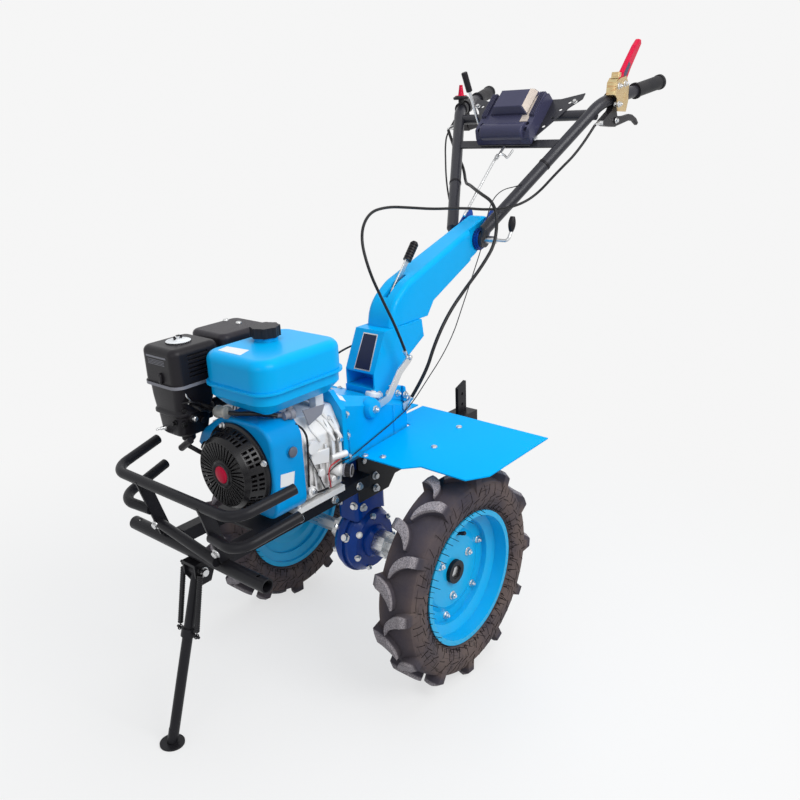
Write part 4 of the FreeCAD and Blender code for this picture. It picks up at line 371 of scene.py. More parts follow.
@dataclass(frozen=True)
class Finish:
    """What every finish has: its name, colour, gloss, grain, dirt, painted shade in corners and the record's
    slot it takes after.

    A material is written from these once, and shared by every piece that wears it.
    """

    name: str
    colour: Spot
    roughness: float = 0.4
    metallic: float = 0.0
    coat: float = 0.0
    specular: float = 0.3
    dust: float = 0.15
    # How strongly grime and painted shade darken corners and creases.
    grime_and_shade: float = 0.0
    wear: float = 0.0
    worn_colour: Spot = (0.5, 0.5, 0.5)
    grain: float = 600.0
    grain_depth: float = 0.15
    spread: float = 0.1
    rounding: float = 0.0012
    bump: float = 0.0006
    tone_scale: float = 5.0
    gloss_scale: float = 22.0
    patch_scale: float = 16.0
    worn_reach: float = 0.0016
    grime_and_shade_reach: float = 0.018
    slot: str = "black_plastic"

    def material(self) -> bpy.types.Material:
        """The finish's material, written when first asked for.

        Returns:
            The material.
        """
        known = bpy.data.materials.get(self.name + "_finish")
        if known:
            return known
        made = bpy.data.materials.new(self.name + "_finish")
        made.use_nodes = True
        made.diffuse_color = (*self.colour, 1.0)
        graph = Graph(made.node_tree)
        colour, rough = self.surface(graph)
        shader = graph.add("BsdfPrincipled", {
            "Base Color": colour, "Roughness": rough, "Metallic": self.metallic,
            "Coat Weight": self.coat, "Coat Roughness": 0.08, "Specular IOR Level": self.specular,
            "Normal": self.relief(graph)})
        self.extra(graph, shader)
        graph.add("OutputMaterial", {"Surface": shader.outputs[0]})
        return made

    def base(self, graph: Graph) -> Socket:
        """The bare colour, with its slow changes of shade."""
        factor = Effects.place(graph, Effect.TONE, Scale=self.tone_scale, Spread=self.spread)
        return graph.add("VectorMath", {0: self.colour, "Scale": factor}, operation="SCALE").outputs[0]

    def surface(self, graph: Graph) -> tuple[Socket, Socket]:
        """The colour and roughness with wear, grime with painted shade in corners, and dust laid over.

        Args:
            graph: The material's graph.

        Returns:
            The colour and the roughness.
        """
        colour = self.base(graph)
        rough = graph.ramp(graph.noise(self.gloss_scale, 4.0), 0.3, 0.7,
                           self.roughness * 0.85, self.roughness * 1.15)
        if self.wear:
            mask = Effects.place(graph, Effect.WEAR, Radius=self.worn_reach, Amount=self.wear)
            colour = graph.mix(mask, colour, self.worn_colour)
        # Grime with painted shade: darkens the corners and creases that ambient occlusion finds.
        if self.grime_and_shade:
            mask = Effects.place(graph, Effect.GRIME_AND_SHADE, Reach=self.grime_and_shade_reach, Amount=self.grime_and_shade)
            colour = graph.mix(mask, colour, GRIME_AND_SHADE_COLOUR)
            rough = graph.maths("CLAMPED_MULTIPLY_ADD", mask, 0.4, self.roughness)
        if self.dust:
            mask = Effects.place(graph, Effect.DUST, Amount=self.dust, Scale=self.patch_scale)
            colour = graph.mix(mask, colour, DUST_COLOUR)
            rough = graph.maths("CLAMPED_ADD", rough, graph.maths("MULTIPLY", mask, 0.5))
        return colour, rough

    def relief(self, graph: Graph) -> Socket:
        """Rounds the edges and adds the grain.

        Args:
            graph: The material's graph.

        Returns:
            The normal.
        """
        height = self.skin(graph)
        rounded = graph.add("Bevel", {"Radius": self.rounding}, samples=4)
        return graph.add("Bump", {"Strength": self.grain_depth, "Distance": self.bump, "Height": height,
                                  "Normal": rounded.outputs[0]}).outputs[0]

    def skin(self, graph: Graph) -> Socket:
        """The grain's height."""
        return Effects.place(graph, Effect.PEEL, Scale=self.grain, Depth=1.0)

    def extra(self, graph: Graph, shader: Node) -> None:
        """Room for a finish to set more of the shader's own sockets."""


@dataclass(frozen=True)
class Plated(Finish):
    """Bright plated or drawn metal."""

    metallic: float = 1.0
    roughness: float = 0.24
    specular: float = 0.5
    dust: float = 0.05
    grain: float = 900.0
    grain_depth: float = 0.05
    slot: str = "bright_steel"
    streaking: float = 0.15
    streak_scale: float = 30.0
    streak_length: float = 14.0

    def surface(self, graph: Graph) -> tuple[Socket, Socket]:
        """Adds the drawn lines to the plain finish.

        Args:
            graph: The material's graph.

        Returns:
            The colour and the roughness.
        """
        colour, rough = super().surface(graph)
        lines = Effects.place(graph, Effect.STREAKS, Scale=self.streak_scale, Length=self.streak_length)
        streaked = graph.mix(graph.ramp(lines, 0.35, 0.75, 0.0, self.streaking), colour, self.worn_colour)
        return streaked, graph.maths("CLAMPED_ADD", rough, graph.ramp(lines, 0.3, 0.7, -0.05, 0.08))


@dataclass(frozen=True)
class TyreRubber(Finish):
    """Tyre rubber, browned by dust, with paler lug faces and nicked side walls."""

    roughness: float = 0.78
    grain: float = 340.0
    grain_depth: float = 0.55
    rounding: float = 0.002
    bump: float = 0.0012
    slot: str = "tyre_rubber"
    lug_colour: Spot = linear(174, 167, 171)
    dusty_colour: Spot = linear(112, 96, 90)
    nick_colour: Spot = linear(24, 20, 19)
    wall_radius: float = 0.23
    lug_radius: float = 0.2515
    nick_depth: float = 1.2

    def round_the_axle(self, graph: Graph) -> tuple[Socket, Socket]:
        """Where a place lies round the axle.

        Args:
            graph: The material's graph.

        Returns:
            The distance from the axle and the angle round it.
        """
        place = graph.add("TexCoord").outputs["Object"]
        moved = graph.add("VectorMath", {0: place, 1: AXLE}, operation="SUBTRACT")
        parts = graph.add("SeparateXYZ", {0: moved.outputs[0]})
        flat = graph.add("CombineXYZ", {0: parts.outputs[0], 2: parts.outputs[2]})
        length = graph.add("VectorMath", {0: flat.outputs[0]}, operation="LENGTH").outputs["Value"]
        return length, graph.maths("ARCTAN2", parts.outputs[2], parts.outputs[0])

    def scratches(self, graph: Graph) -> Socket:
        """Short radial nicks and rings on the side walls.

        Args:
            graph: The material's graph.

        Returns:
            Where they lie, as a mask.
        """
        length, angle = self.round_the_axle(graph)
        marks = []
        for round_about, outward, low, high, depth in ((22.0, 34.0, 0.66, 0.74, 0.5),
                                                       (4.0, 300.0, 0.6, 0.68, 0.6)):
            place = graph.add("CombineXYZ", {0: graph.maths("MULTIPLY", angle, round_about),
                                             1: graph.maths("MULTIPLY", length, outward)})
            marks.append(graph.ramp(graph.noise(1.0, 1.0, place.outputs[0]), low, high, 0.0, depth))
        within = graph.ramp(length, self.wall_radius + 0.006, self.wall_radius - 0.006)
        return graph.maths("CLAMPED_MULTIPLY", graph.maths("MAXIMUM", *marks), within)

    def base(self, graph: Graph) -> Socket:
        """Brown-black rubber with its pale lug faces and dark nicks.

        Args:
            graph: The material's graph.

        Returns:
            The colour.
        """
        length, _ = self.round_the_axle(graph)
        bare = super().base(graph)
        dusty = graph.maths("MULTIPLY", graph.ramp(graph.noise(9.0, 6.0), 0.35, 0.7, 0.1, 0.8),
                            graph.ramp(length, self.wall_radius + 0.014, self.wall_radius, 0.2, 1.0))
        browned = graph.mix(dusty, bare, self.dusty_colour)
        nicked = graph.mix(self.scratches(graph), browned, self.nick_colour)
        grit = graph.ramp(graph.noise(420.0, 3.0), 0.35, 0.65, 0.35, 1.0)
        on_lugs = graph.ramp(length, self.lug_radius, self.lug_radius + 0.006)
        return graph.mix(graph.maths("MULTIPLY", on_lugs, grit), nicked, self.lug_colour)

    def skin(self, graph: Graph) -> Socket:
        """The height of a gritty skin with nicks in it."""
        grit = super().skin(graph)
        return graph.maths("SUBTRACT", grit, graph.maths("MULTIPLY", self.scratches(graph), self.nick_depth))


@dataclass(frozen=True)
class Clear(Finish):
    """Milky clear plastic, for the fuel filter."""

    roughness: float = 0.2
    dust: float = 0.0
    clearness: float = 0.55

    def extra(self, graph: Graph, shader: Node) -> None:
        """Lets light through."""
        shader.inputs["Transmission Weight"].default_value = self.clearness


class Finishes:
    """Every finish on the machine."""

    sky = Finish("sky_enamel", linear(0, 178, 246), 0.3, coat=0.06, specular=0.1, dust=0.0, wear=0.12,
                 worn_colour=linear(110, 205, 240), grain=260.0, grain_depth=0.05, spread=0.05, grime_and_shade=0.35,
                 slot="sky_blue_paint")
    sheet_blue = Finish("sheet_enamel", linear(0, 174, 246), 0.42, specular=0.02, dust=0.0, wear=0.1,
                        worn_colour=linear(90, 200, 240), grain=260.0, grain_depth=0.04, spread=0.04,
                        grime_and_shade=0.35, slot="sky_blue_paint")
    cast_blue = Finish("cast_enamel", linear(0, 170, 240), 0.3, coat=0.08, specular=0.14, dust=0.02,
                       grain=700.0, grain_depth=0.25, spread=0.12, grime_and_shade=0.6, wear=0.12,
                       worn_colour=linear(90, 190, 230), slot="blue_cast_paint")
    # A darker copy of the cast blue that paints the shade the tank casts over the fan housing.
    shroud_shaded_blue = Finish("shroud_enamel_painted_shade", linear(0, 152, 224), 0.3, coat=0.08, specular=0.12, dust=0.0,
                         wear=0.12, worn_colour=linear(90, 190, 230), grain=260.0, grain_depth=0.06,
                         spread=0.14, grime_and_shade=0.6, slot="blue_cast_paint")
    # A deep blue made darker still, painting the shade under the machine on the final drive and column.
    deep_blue_and_shade = Finish("deep_enamel_and_painted_shade", linear(0, 68, 162), 0.26, coat=0.12, specular=0.14, dust=0.02,
                       grain=520.0, grain_depth=0.35, spread=0.3, grime_and_shade=0.8, slot="deep_blue_paint")
    rim_blue = Finish("rim_enamel", linear(20, 184, 240), 0.28, coat=0.12, specular=0.2, dust=0.03,
                      grain=240.0, grain_depth=0.08, spread=0.08, grime_and_shade=0.25, slot="sky_blue_paint")
    black = Finish("black_enamel", linear(25, 25, 30), 0.38, specular=0.2, dust=0.01, grain=750.0,
                   grain_depth=0.2, wear=0.2, worn_colour=linear(66, 64, 68), grime_and_shade=0.3, spread=0.25,
                   slot="black_paint")
    gunmetal = Finish("gunmetal_powder", linear(42, 42, 49), 0.34, specular=0.42, dust=0.01, grain=950.0,
                      grain_depth=0.25, wear=0.15, worn_colour=linear(90, 88, 90), spread=0.2,
                      slot="gunmetal_paint")
    plastic = Finish("black_moulding", linear(27, 25, 30), 0.38, specular=0.24, dust=0.01, grain=1100.0,
                     grain_depth=0.25, spread=0.25, grime_and_shade=0.3, wear=0.2, worn_colour=linear(66, 64, 70))
    panel = Finish("panel_moulding", linear(60, 60, 86), 0.32, specular=0.3, dust=0.0, grain=900.0,
                   grain_depth=0.12, spread=0.2, wear=0.15, worn_colour=linear(96, 94, 120), grime_and_shade=0.4,
                   slot="panel_plastic")
    gloss_black = Finish("starter_moulding", linear(17, 16, 20), 0.26, specular=0.34, dust=0.0, grain=1100.0,
                         grain_depth=0.15, spread=0.2, grime_and_shade=0.2)
    grip = Finish("grip_rubber_ribbed", linear(32, 32, 36), 0.55, specular=0.3, dust=0.03, grain=500.0,
                  grain_depth=0.5, spread=0.2, slot="grip_rubber")
    whisker = Finish("moulding_hairs", linear(28, 22, 20), 0.7, specular=0.15, dust=0.0, grain=500.0,
                     grain_depth=0.2, slot="tyre_rubber")
    red = Finish("red_moulding", linear(212, 10, 62), 0.34, coat=0.06, specular=0.14, dust=0.0, grain=500.0,
                 grain_depth=0.08, spread=0.1, slot="red_plastic")
    alloy = Finish("cast_alloy_skin", linear(244, 243, 242), 0.42, metallic=0.2, specular=0.4, dust=0.0,
                   grain=800.0, grain_depth=0.5, spread=0.12, grime_and_shade=0.75, slot="cast_alloy")
    steel = Plated("bright_plate", linear(214, 215, 216), roughness=0.3, worn_colour=linear(176, 176, 174),
                   spread=0.05, streaking=0.08)
    zinc = Plated("yellow_zinc", linear(220, 204, 156), roughness=0.26, worn_colour=linear(186, 122, 76),
                  grime_and_shade=0.8, spread=0.6, streaking=0.8, slot="zinc_steel")
    copper = Plated("copper_wash", linear(204, 112, 72), roughness=0.3, worn_colour=linear(150, 84, 60),
                    slot="zinc_steel")
    hot = Finish("heatproof_black", linear(36, 33, 40), 0.42, specular=0.3, dust=0.0, grain=900.0,
                 grain_depth=0.5, spread=0.25, grime_and_shade=0.2, wear=0.5, worn_colour=linear(150, 150, 154),
                 slot="hot_steel")
    spring = Plated("oiled_spring", linear(46, 46, 48), roughness=0.36, worn_colour=linear(20, 19, 18),
                    dust=0.0, slot="spring_steel")
    tyre = TyreRubber("tyre_tread", linear(64, 61, 72), specular=0.2, dust=0.08, grime_and_shade=0.4)
    label = Finish("white_label", linear(236, 238, 240), 0.35, dust=0.0, grain=300.0, grain_depth=0.03,
                   spread=0.04, slot="sky_blue_paint")
    nameplate = Finish("dark_plate", linear(22, 34, 66), 0.3, dust=0.0, grain=700.0, grain_depth=0.05,
                       spread=0.2, slot="bright_steel")
    grey_plastic = Finish("grey_moulding", linear(96, 100, 112), 0.4, dust=0.0, grain=900.0, grain_depth=0.15)
    pale_rim = Finish("pale_moulding", linear(140, 140, 148), 0.4, dust=0.0, grain=900.0, grain_depth=0.15,
                      grime_and_shade=0.4)
    milky = Clear("milky_filter", linear(206, 204, 196))
    wire = Finish("wire_sheath", linear(22, 22, 25), 0.36, specular=0.3, dust=0.0, grain=500.0,
                  grain_depth=0.1)
    red_wire = Finish("red_wire_sheath", linear(196, 50, 60), 0.42, dust=0.0, grain=500.0, grain_depth=0.1,
                      slot="red_plastic")
    grey_panel = Finish("brushed_facing", linear(196, 184, 174), 0.4, metallic=0.5, specular=0.4, dust=0.0,
                        grain=700.0, grain_depth=0.12, spread=0.7, grime_and_shade=0.3, slot="panel_plastic")


# ---- Meshes -----------------------------------------------------------------------------------

class Work:
    """A mesh being made from outlines, turnings and tubes, in millimetres."""

    def __init__(self, base: Matrix = MACHINE) -> None:
        """Starts an empty mesh in a frame that carries it into the scene."""
        self.mesh = bmesh.new()
        self.base = base

    def skin(self, rings: list[list[Vector]], loop: bool = False, caps: bool = True) -> None:
        """Joins rings of points with faces.

        Args:
            rings: The rings, each with the same count of points.
            loop: Whether the last ring joins the first.
            caps: Whether the end rings are closed.
        """
        made = [[self.mesh.verts.new(point) for point in ring] for ring in rings]
        for near, far in zip(made, made[1:] + (made[:1] if loop else [])):
            for index in range(len(near)):
                follow = (index + 1) % len(near)
                self.mesh.faces.new((near[index], near[follow], far[follow], far[index]))
        if caps and not loop:
            self.mesh.faces.new(list(reversed(made[0])))
            self.mesh.faces.new(made[-1])

    def turned(self, profile: Outline, at: Matrix = Matrix(), steps: int = 32, closed: bool = False) -> None:
        """Turns a profile about z.

        Args:
            profile: Its corners, each a radius and a height.
            at: The frame that it stands in.
            steps: How many sides the turning has.
            closed: Whether the profile's last corner joins its first.
        """
        rings = [[at @ polar(radius, math.tau * step / steps, height) for step in range(steps)]
                 for radius, height in profile]
        self.skin(rings, loop=closed, caps=not closed)

    def prism(self, outline: Outline, low: float, high: float, at: Matrix = Matrix(),
              inset: float = 0.0) -> None:
        """Raises an outline between two heights.

        Args:
            outline: Its corners.
            low: The height of its foot.
            high: The height of its top.
            at: The frame that it stands in.
            inset: How far its top edge is drawn in.
        """
        middle = Vector((sum(x for x, _ in outline), sum(y for _, y in outline))) / len(outline)
        rings = [[at @ Vector((x, y, low)) for x, y in outline]]
        if inset:
            rings.append([at @ Vector((x, y, high - inset)) for x, y in outline])
            arms = [Vector(spot) - middle for spot in outline]
            drawn = [middle + arm * (1 - inset / max(arm.length, inset)) for arm in arms]
            rings.append([at @ Vector((*spot, high)) for spot in drawn])
        else:
            rings.append([at @ Vector((x, y, high)) for x, y in outline])
        self.skin(rings)

    def tube(self, path: list[Vector], radius: float, sides: int = 10, taper: float = 1.0) -> None:
        """Runs a round bar along a path.

        Args:
            path: The points of its middle line.
            radius: Its radius.
            sides: How many sides it has.
            taper: The share of its radius that its end has.
        """
        rings = []
        side = None
        for index, point in enumerate(path):
            way = (path[min(index + 1, len(path) - 1)] - path[max(index - 1, 0)]).normalized()
            side = (side - way * side.dot(way)).normalized() if side else way.orthogonal().normalized()
            other = way.cross(side)
            size = radius * (1 + (taper - 1) * index / (len(path) - 1))
            turns = [math.tau * step / sides for step in range(sides)]
            rings.append([point + (side * math.cos(turn) + other * math.sin(turn)) * size for turn in turns])
        self.skin(rings)

    def piece(self, name: str, finish: Finish, body: str | None = "chassis",
              crease: float = 35.0, bevel: float = 0.0) -> bpy.types.Object:
        """Closes the mesh as a named piece of the machine.

        Args:
            name: The piece's name.
            finish: What it wears.
            body: The body it rides on, or None to leave it on no body.
            crease: The angle past which an edge stays sharp, in degrees.
            bevel: The width of a rounded edge, in millimetres.

        Returns:
            The piece.
        """
        bmesh.ops.remove_doubles(self.mesh, verts=self.mesh.verts, dist=0.001)
        bmesh.ops.transform(self.mesh, matrix=self.base, verts=self.mesh.verts)
        bmesh.ops.recalc_face_normals(self.mesh, faces=self.mesh.faces)
        data = bpy.data.meshes.new(name)
        self.mesh.to_mesh(data)
        self.mesh.free()
        data.shade_smooth()
        data.set_sharp_from_angle(angle=math.radians(crease))
        data.materials.append(finish.material())
        made = placed(name, data)
        if bevel:
            rounding = made.modifiers.new("rounding", "BEVEL")
            rounding.width = bevel * MM
            rounding.segments = 2
            rounding.limit_method = "ANGLE"
            rounding.angle_limit = BEVEL_TURN
        if body:
            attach(made, body)
        log.info("%s: %d faces", name, len(data.polygons))
        return made


class Surface:
    """The faces of some CAD nodes, on which fastenings, labels and fittings are seated."""

    def __init__(self, *names: str) -> None:
        """Gathers the nodes' faces, in the machine's millimetres.

        Args:
            names: The nodes.
        """
        spots: list[Vector] = []
        faces: list[list[int]] = []
        for name in names:
            node = frame["nodes"][name]
            carry = MACHINE.inverted() @ node.matrix_world
            start = len(spots)
            spots += [carry @ vertex.co for vertex in node.data.vertices]
            faces += [[start + index for index in face.vertices] for face in node.data.polygons]
        self.names = names
        self.tree = BVHTree.FromPolygons(spots, faces)

    def meet(self, start: Spot, way: Spot) -> tuple[Vector, Vector]:
        """Where a line first meets the surface.

        Args:
            start: Where the line starts.
            way: Where it heads.

        Returns:
            The place, and the outward normal there.
        """
        spot, normal, _, _ = self.tree.ray_cast(Vector(start), Vector(way).normalized())
        if spot is None:
            log.warning("nothing of %s lies from %s along %s", self.names[0], tuple(start), tuple(way))
            return Vector(start), -Vector(way).normalized()
        return spot, normal if normal.dot(Vector(way)) < 0 else -normal

    def seat(self, start: Spot, way: Spot, roll: float = 0.0) -> Matrix:
        """A frame on the surface, its z axis outward, where a line from a start meets it."""
        return facing(*self.meet(start, way), roll)

    def label(self, work: Work, corners: list[Spot], way: Spot, lift: float = 0.5, steps: int = 8) -> None:
        """Lays a thin sheet on the surface.

        Args:
            work: The mesh it goes to.
            corners: Its four corners in turn, off the surface.
            way: The direction in which they drop on it.
            lift: How far its face stands off.
            steps: How many parts each side has.
        """
        first, second, third, fourth = (Vector(corner) for corner in corners)
        top, under = [], []
        for row in range(steps + 1):
            for column in range(steps + 1):
                near = first.lerp(second, column / steps)
                far = fourth.lerp(third, column / steps)
                spot, normal = self.meet(near.lerp(far, row / steps), way)
                top.append(work.mesh.verts.new(spot + normal * lift))
                under.append(work.mesh.verts.new(spot - normal * LABEL_SUNK))
        size = steps + 1
        for row in range(steps):
            for column in range(steps):
                index = row * size + column
                ring = (index, index + 1, index + size + 1, index + size)
                work.mesh.faces.new([top[spot] for spot in ring])
                work.mesh.faces.new([under[spot] for spot in reversed(ring)])
        edge = [*range(size), *range(2 * size - 1, size * size, size),
                *range(size * size - 2, size * size - size - 1, -1), *range(size * size - 2 * size, 0, -size)]
        for near, far in zip(edge, edge[1:] + edge[:1]):
            work.mesh.faces.new((top[near], under[near], under[far], top[far]))


def repaint(name: str, finish: Finish, chosen: Callable[[Vector], bool]) -> None:
    """Gives some faces of a CAD node another finish.

    Args:
        name: The node.
        finish: What they wear.
        chosen: A test of a face's middle, in the machine's millimetres.
    """
    node = frame["nodes"][name]
    node.data.materials.append(finish.material())
    carry = MACHINE.inverted() @ node.matrix_world
    index = len(node.data.materials) - 1
    for face in node.data.polygons:
        if chosen(carry @ face.center):
            face.material_index = index


@dataclass(frozen=True)
class Bolt:
    """A hexagon bolt head on its washer."""

    flats: float = 13.0
    height: float = 6.0
    washer: float = 0.0
    stud: float = 0.0

    def put(self, work: Work, at: Matrix) -> None:
        """Adds the head to a mesh.

        Args:
            work: The mesh.
            at: The seat, its z axis out of the surface.
        """
        base = -SUNK
        if self.washer:
            work.turned(boss(self.washer, base, 1.8, 0.6), at, 20)
            base = 1.6
        corner = self.flats / math.sqrt(3)
        rings = []
        for height, share in ((base, 1.0), (base + self.height * 0.78, 1.0), (base + self.height, 0.8)):
            ring = []
            for step in range(12):
                reach = corner if step % 2 == 0 else self.flats / 2
                reach = min(reach, corner * 0.86) if share < 1 else reach
                ring.append(at @ polar(reach, math.tau * step / 12, height))
            rings.append(ring)
        work.skin(rings)
        if self.stud:
            top = base + self.height
            work.turned(boss(self.stud, top - 1, top + 4.4, 1), at, 14)


@dataclass(frozen=True)
class Screw:
    """A round-headed screw with a cross recess."""

    radius: float = 7.0
    height: float = 3.6

    def put(self, work: Work, at: Matrix) -> None:
        """Adds the head to a mesh.

        Args:
            work: The mesh.
            at: The seat, its z axis out of the surface.
        """
        wide, high = self.radius, self.height
        work.turned([(0, -SUNK), (wide, -SUNK), (wide, 0.8), (wide * 0.86, high * 0.68),
                     (wide * 0.55, high * 0.95), (wide * 0.22, high), (wide * 0.16, high - 1.4),
                     (0, high - 1.4)], at, 20)


def bolted(name: str, kind: Bolt | Screw, seats: list[Matrix], body: str = "chassis",
           base: Matrix = MACHINE, finish: Finish = Finishes.steel) -> bpy.types.Object:
    """One piece of many like fastenings.

    Args:
        name: The piece's name.
        kind: The fastening.
        seats: Where each one sits, in the base frame.
        body: The body they ride on.
        base: The frame that the seats are given in.
        finish: What they wear.

    Returns:
        The piece.
    """
    work = Work(base)
    for seat in seats:
        kind.put(work, seat)
    return work.piece(name, finish, body, crease=28.0)


def run_through(spots: list[Spot], steps: int = 12) -> list[Vector]:
    """Points on a smooth line through the spots given.

    Args:
        spots: What the line passes through.
        steps: How many points lie between two spots.

    Returns:
        The points.
    """
    ends = [Vector(spot) for spot in spots]
    ends = [ends[0] * 2 - ends[1], *ends, ends[-1] * 2 - ends[-2]]
    line = []
    for before, start, end, after in zip(ends, ends[1:], ends[2:], ends[3:]):
        bend = 2 * before - 5 * start + 4 * end - after
        twist = 3 * start - before - 3 * end + after
        for share in (step / steps for step in range(steps)):
            line.append(0.5 * (2 * start + (end - before) * share + bend * share * share
                               + twist * share ** 3))
    return [*line, ends[-2]]


def rounded(width: float, depth: float, corner: float, steps: int = 5) -> Outline:
    """A rectangle with round corners, about its middle.

    Args:
        width: Its width.
        depth: Its depth.
        corner: The radius of its corners.
        steps: How many parts a corner has.

    Returns:
        Its outline.
    """
    spots = []
    for turn, (side, way) in enumerate(((1, 1), (-1, 1), (-1, -1), (1, -1))):
        for step in range(steps + 1):
            angle = math.radians(90 * turn + 90 * step / steps)
            spots.append((side * (width / 2 - corner) + corner * math.cos(angle),
                          way * (depth / 2 - corner) + corner * math.sin(angle)))
    return spots


# ---- The machine's sub-assemblies -------------------------------------------------------------

@dataclass
class Frame:
    """The CAD nodes that stay, and what each wears."""

    finishes: tuple[Finish, ...] = (
        Finishes.sky, Finishes.cast_blue, Finishes.deep_blue_and_shade, Finishes.black, Finishes.gunmetal,
        Finishes.tyre, Finishes.grip, Finishes.plastic, Finishes.panel, Finishes.red, Finishes.alloy,
        Finishes.steel, Finishes.zinc, Finishes.hot, Finishes.spring)
    # The final drive and column wear the blue darkened for painted shade, and the fan housing the blue
    # darkened for the painted shade under the tank.
    exceptions: dict[str, Finish] = field(default_factory=lambda: {
        "left_rim": Finishes.rim_blue, "right_rim": Finishes.rim_blue,
        "left_fender": Finishes.sheet_blue, "right_fender": Finishes.sheet_blue,
        "final_drive": Finishes.deep_blue_and_shade, "gear_column": Finishes.deep_blue_and_shade,
        "fan_shroud": Finishes.shroud_shaded_blue, "recoil_starter": Finishes.gloss_black})
    # Where knobs, ferrules and rims begin: least y and z, greatest z, least x and greatest z, greatest z.
    crank_knob: tuple[float, float] = (100.0, 725.4)
    throttle_knob: float = 1078.6
    ferrule: tuple[float, float] = (-771.0, 1005.0)
    filter_rim: float = 518.5

    def dress(self) -> None:
        """Gives each CAD node the finish of its slot, or its own."""
        usual = {finish.slot: finish for finish in self.finishes}
        slots = {part["node"]: part["material_slot"] for part in frame["record"]["subparts"]}
        for name, node in frame["nodes"].items():
            finish = self.exceptions.get(name) or usual[slots[name]]
            node.data.materials.clear()
            node.data.materials.append(finish.material())

    def touch_up(self) -> None:
        """Gives knobs, ferrules and rims the colours that set them off from their nodes."""
        for name, foot, head, knob in (("gear_lever", (-158, 0, 612), (-224, 0, 688), 4.4),
                                       ("shift_lever", (-736, -124, 992), (-684, -140, 1138), 56.2)):
            reach = Vector(head) - Vector(foot)
            start = Vector(foot).dot(reach.normalized()) + reach.length - knob
            repaint(name, Finishes.plastic, lambda spot: spot.dot(reach.normalized()) > start)
        side, foot = self.crank_knob
        repaint("locking_crank", Finishes.plastic, lambda spot: spot.y > side and spot.z > foot)
        repaint("throttle_lever", Finishes.plastic, lambda spot: spot.z < self.throttle_knob)
        rear, top = self.ferrule
        repaint("hand_levers", Finishes.steel, lambda spot: spot.x > rear and spot.z < top)
        repaint("air_filter", Finishes.pale_rim, lambda spot: spot.z < self.filter_rim)


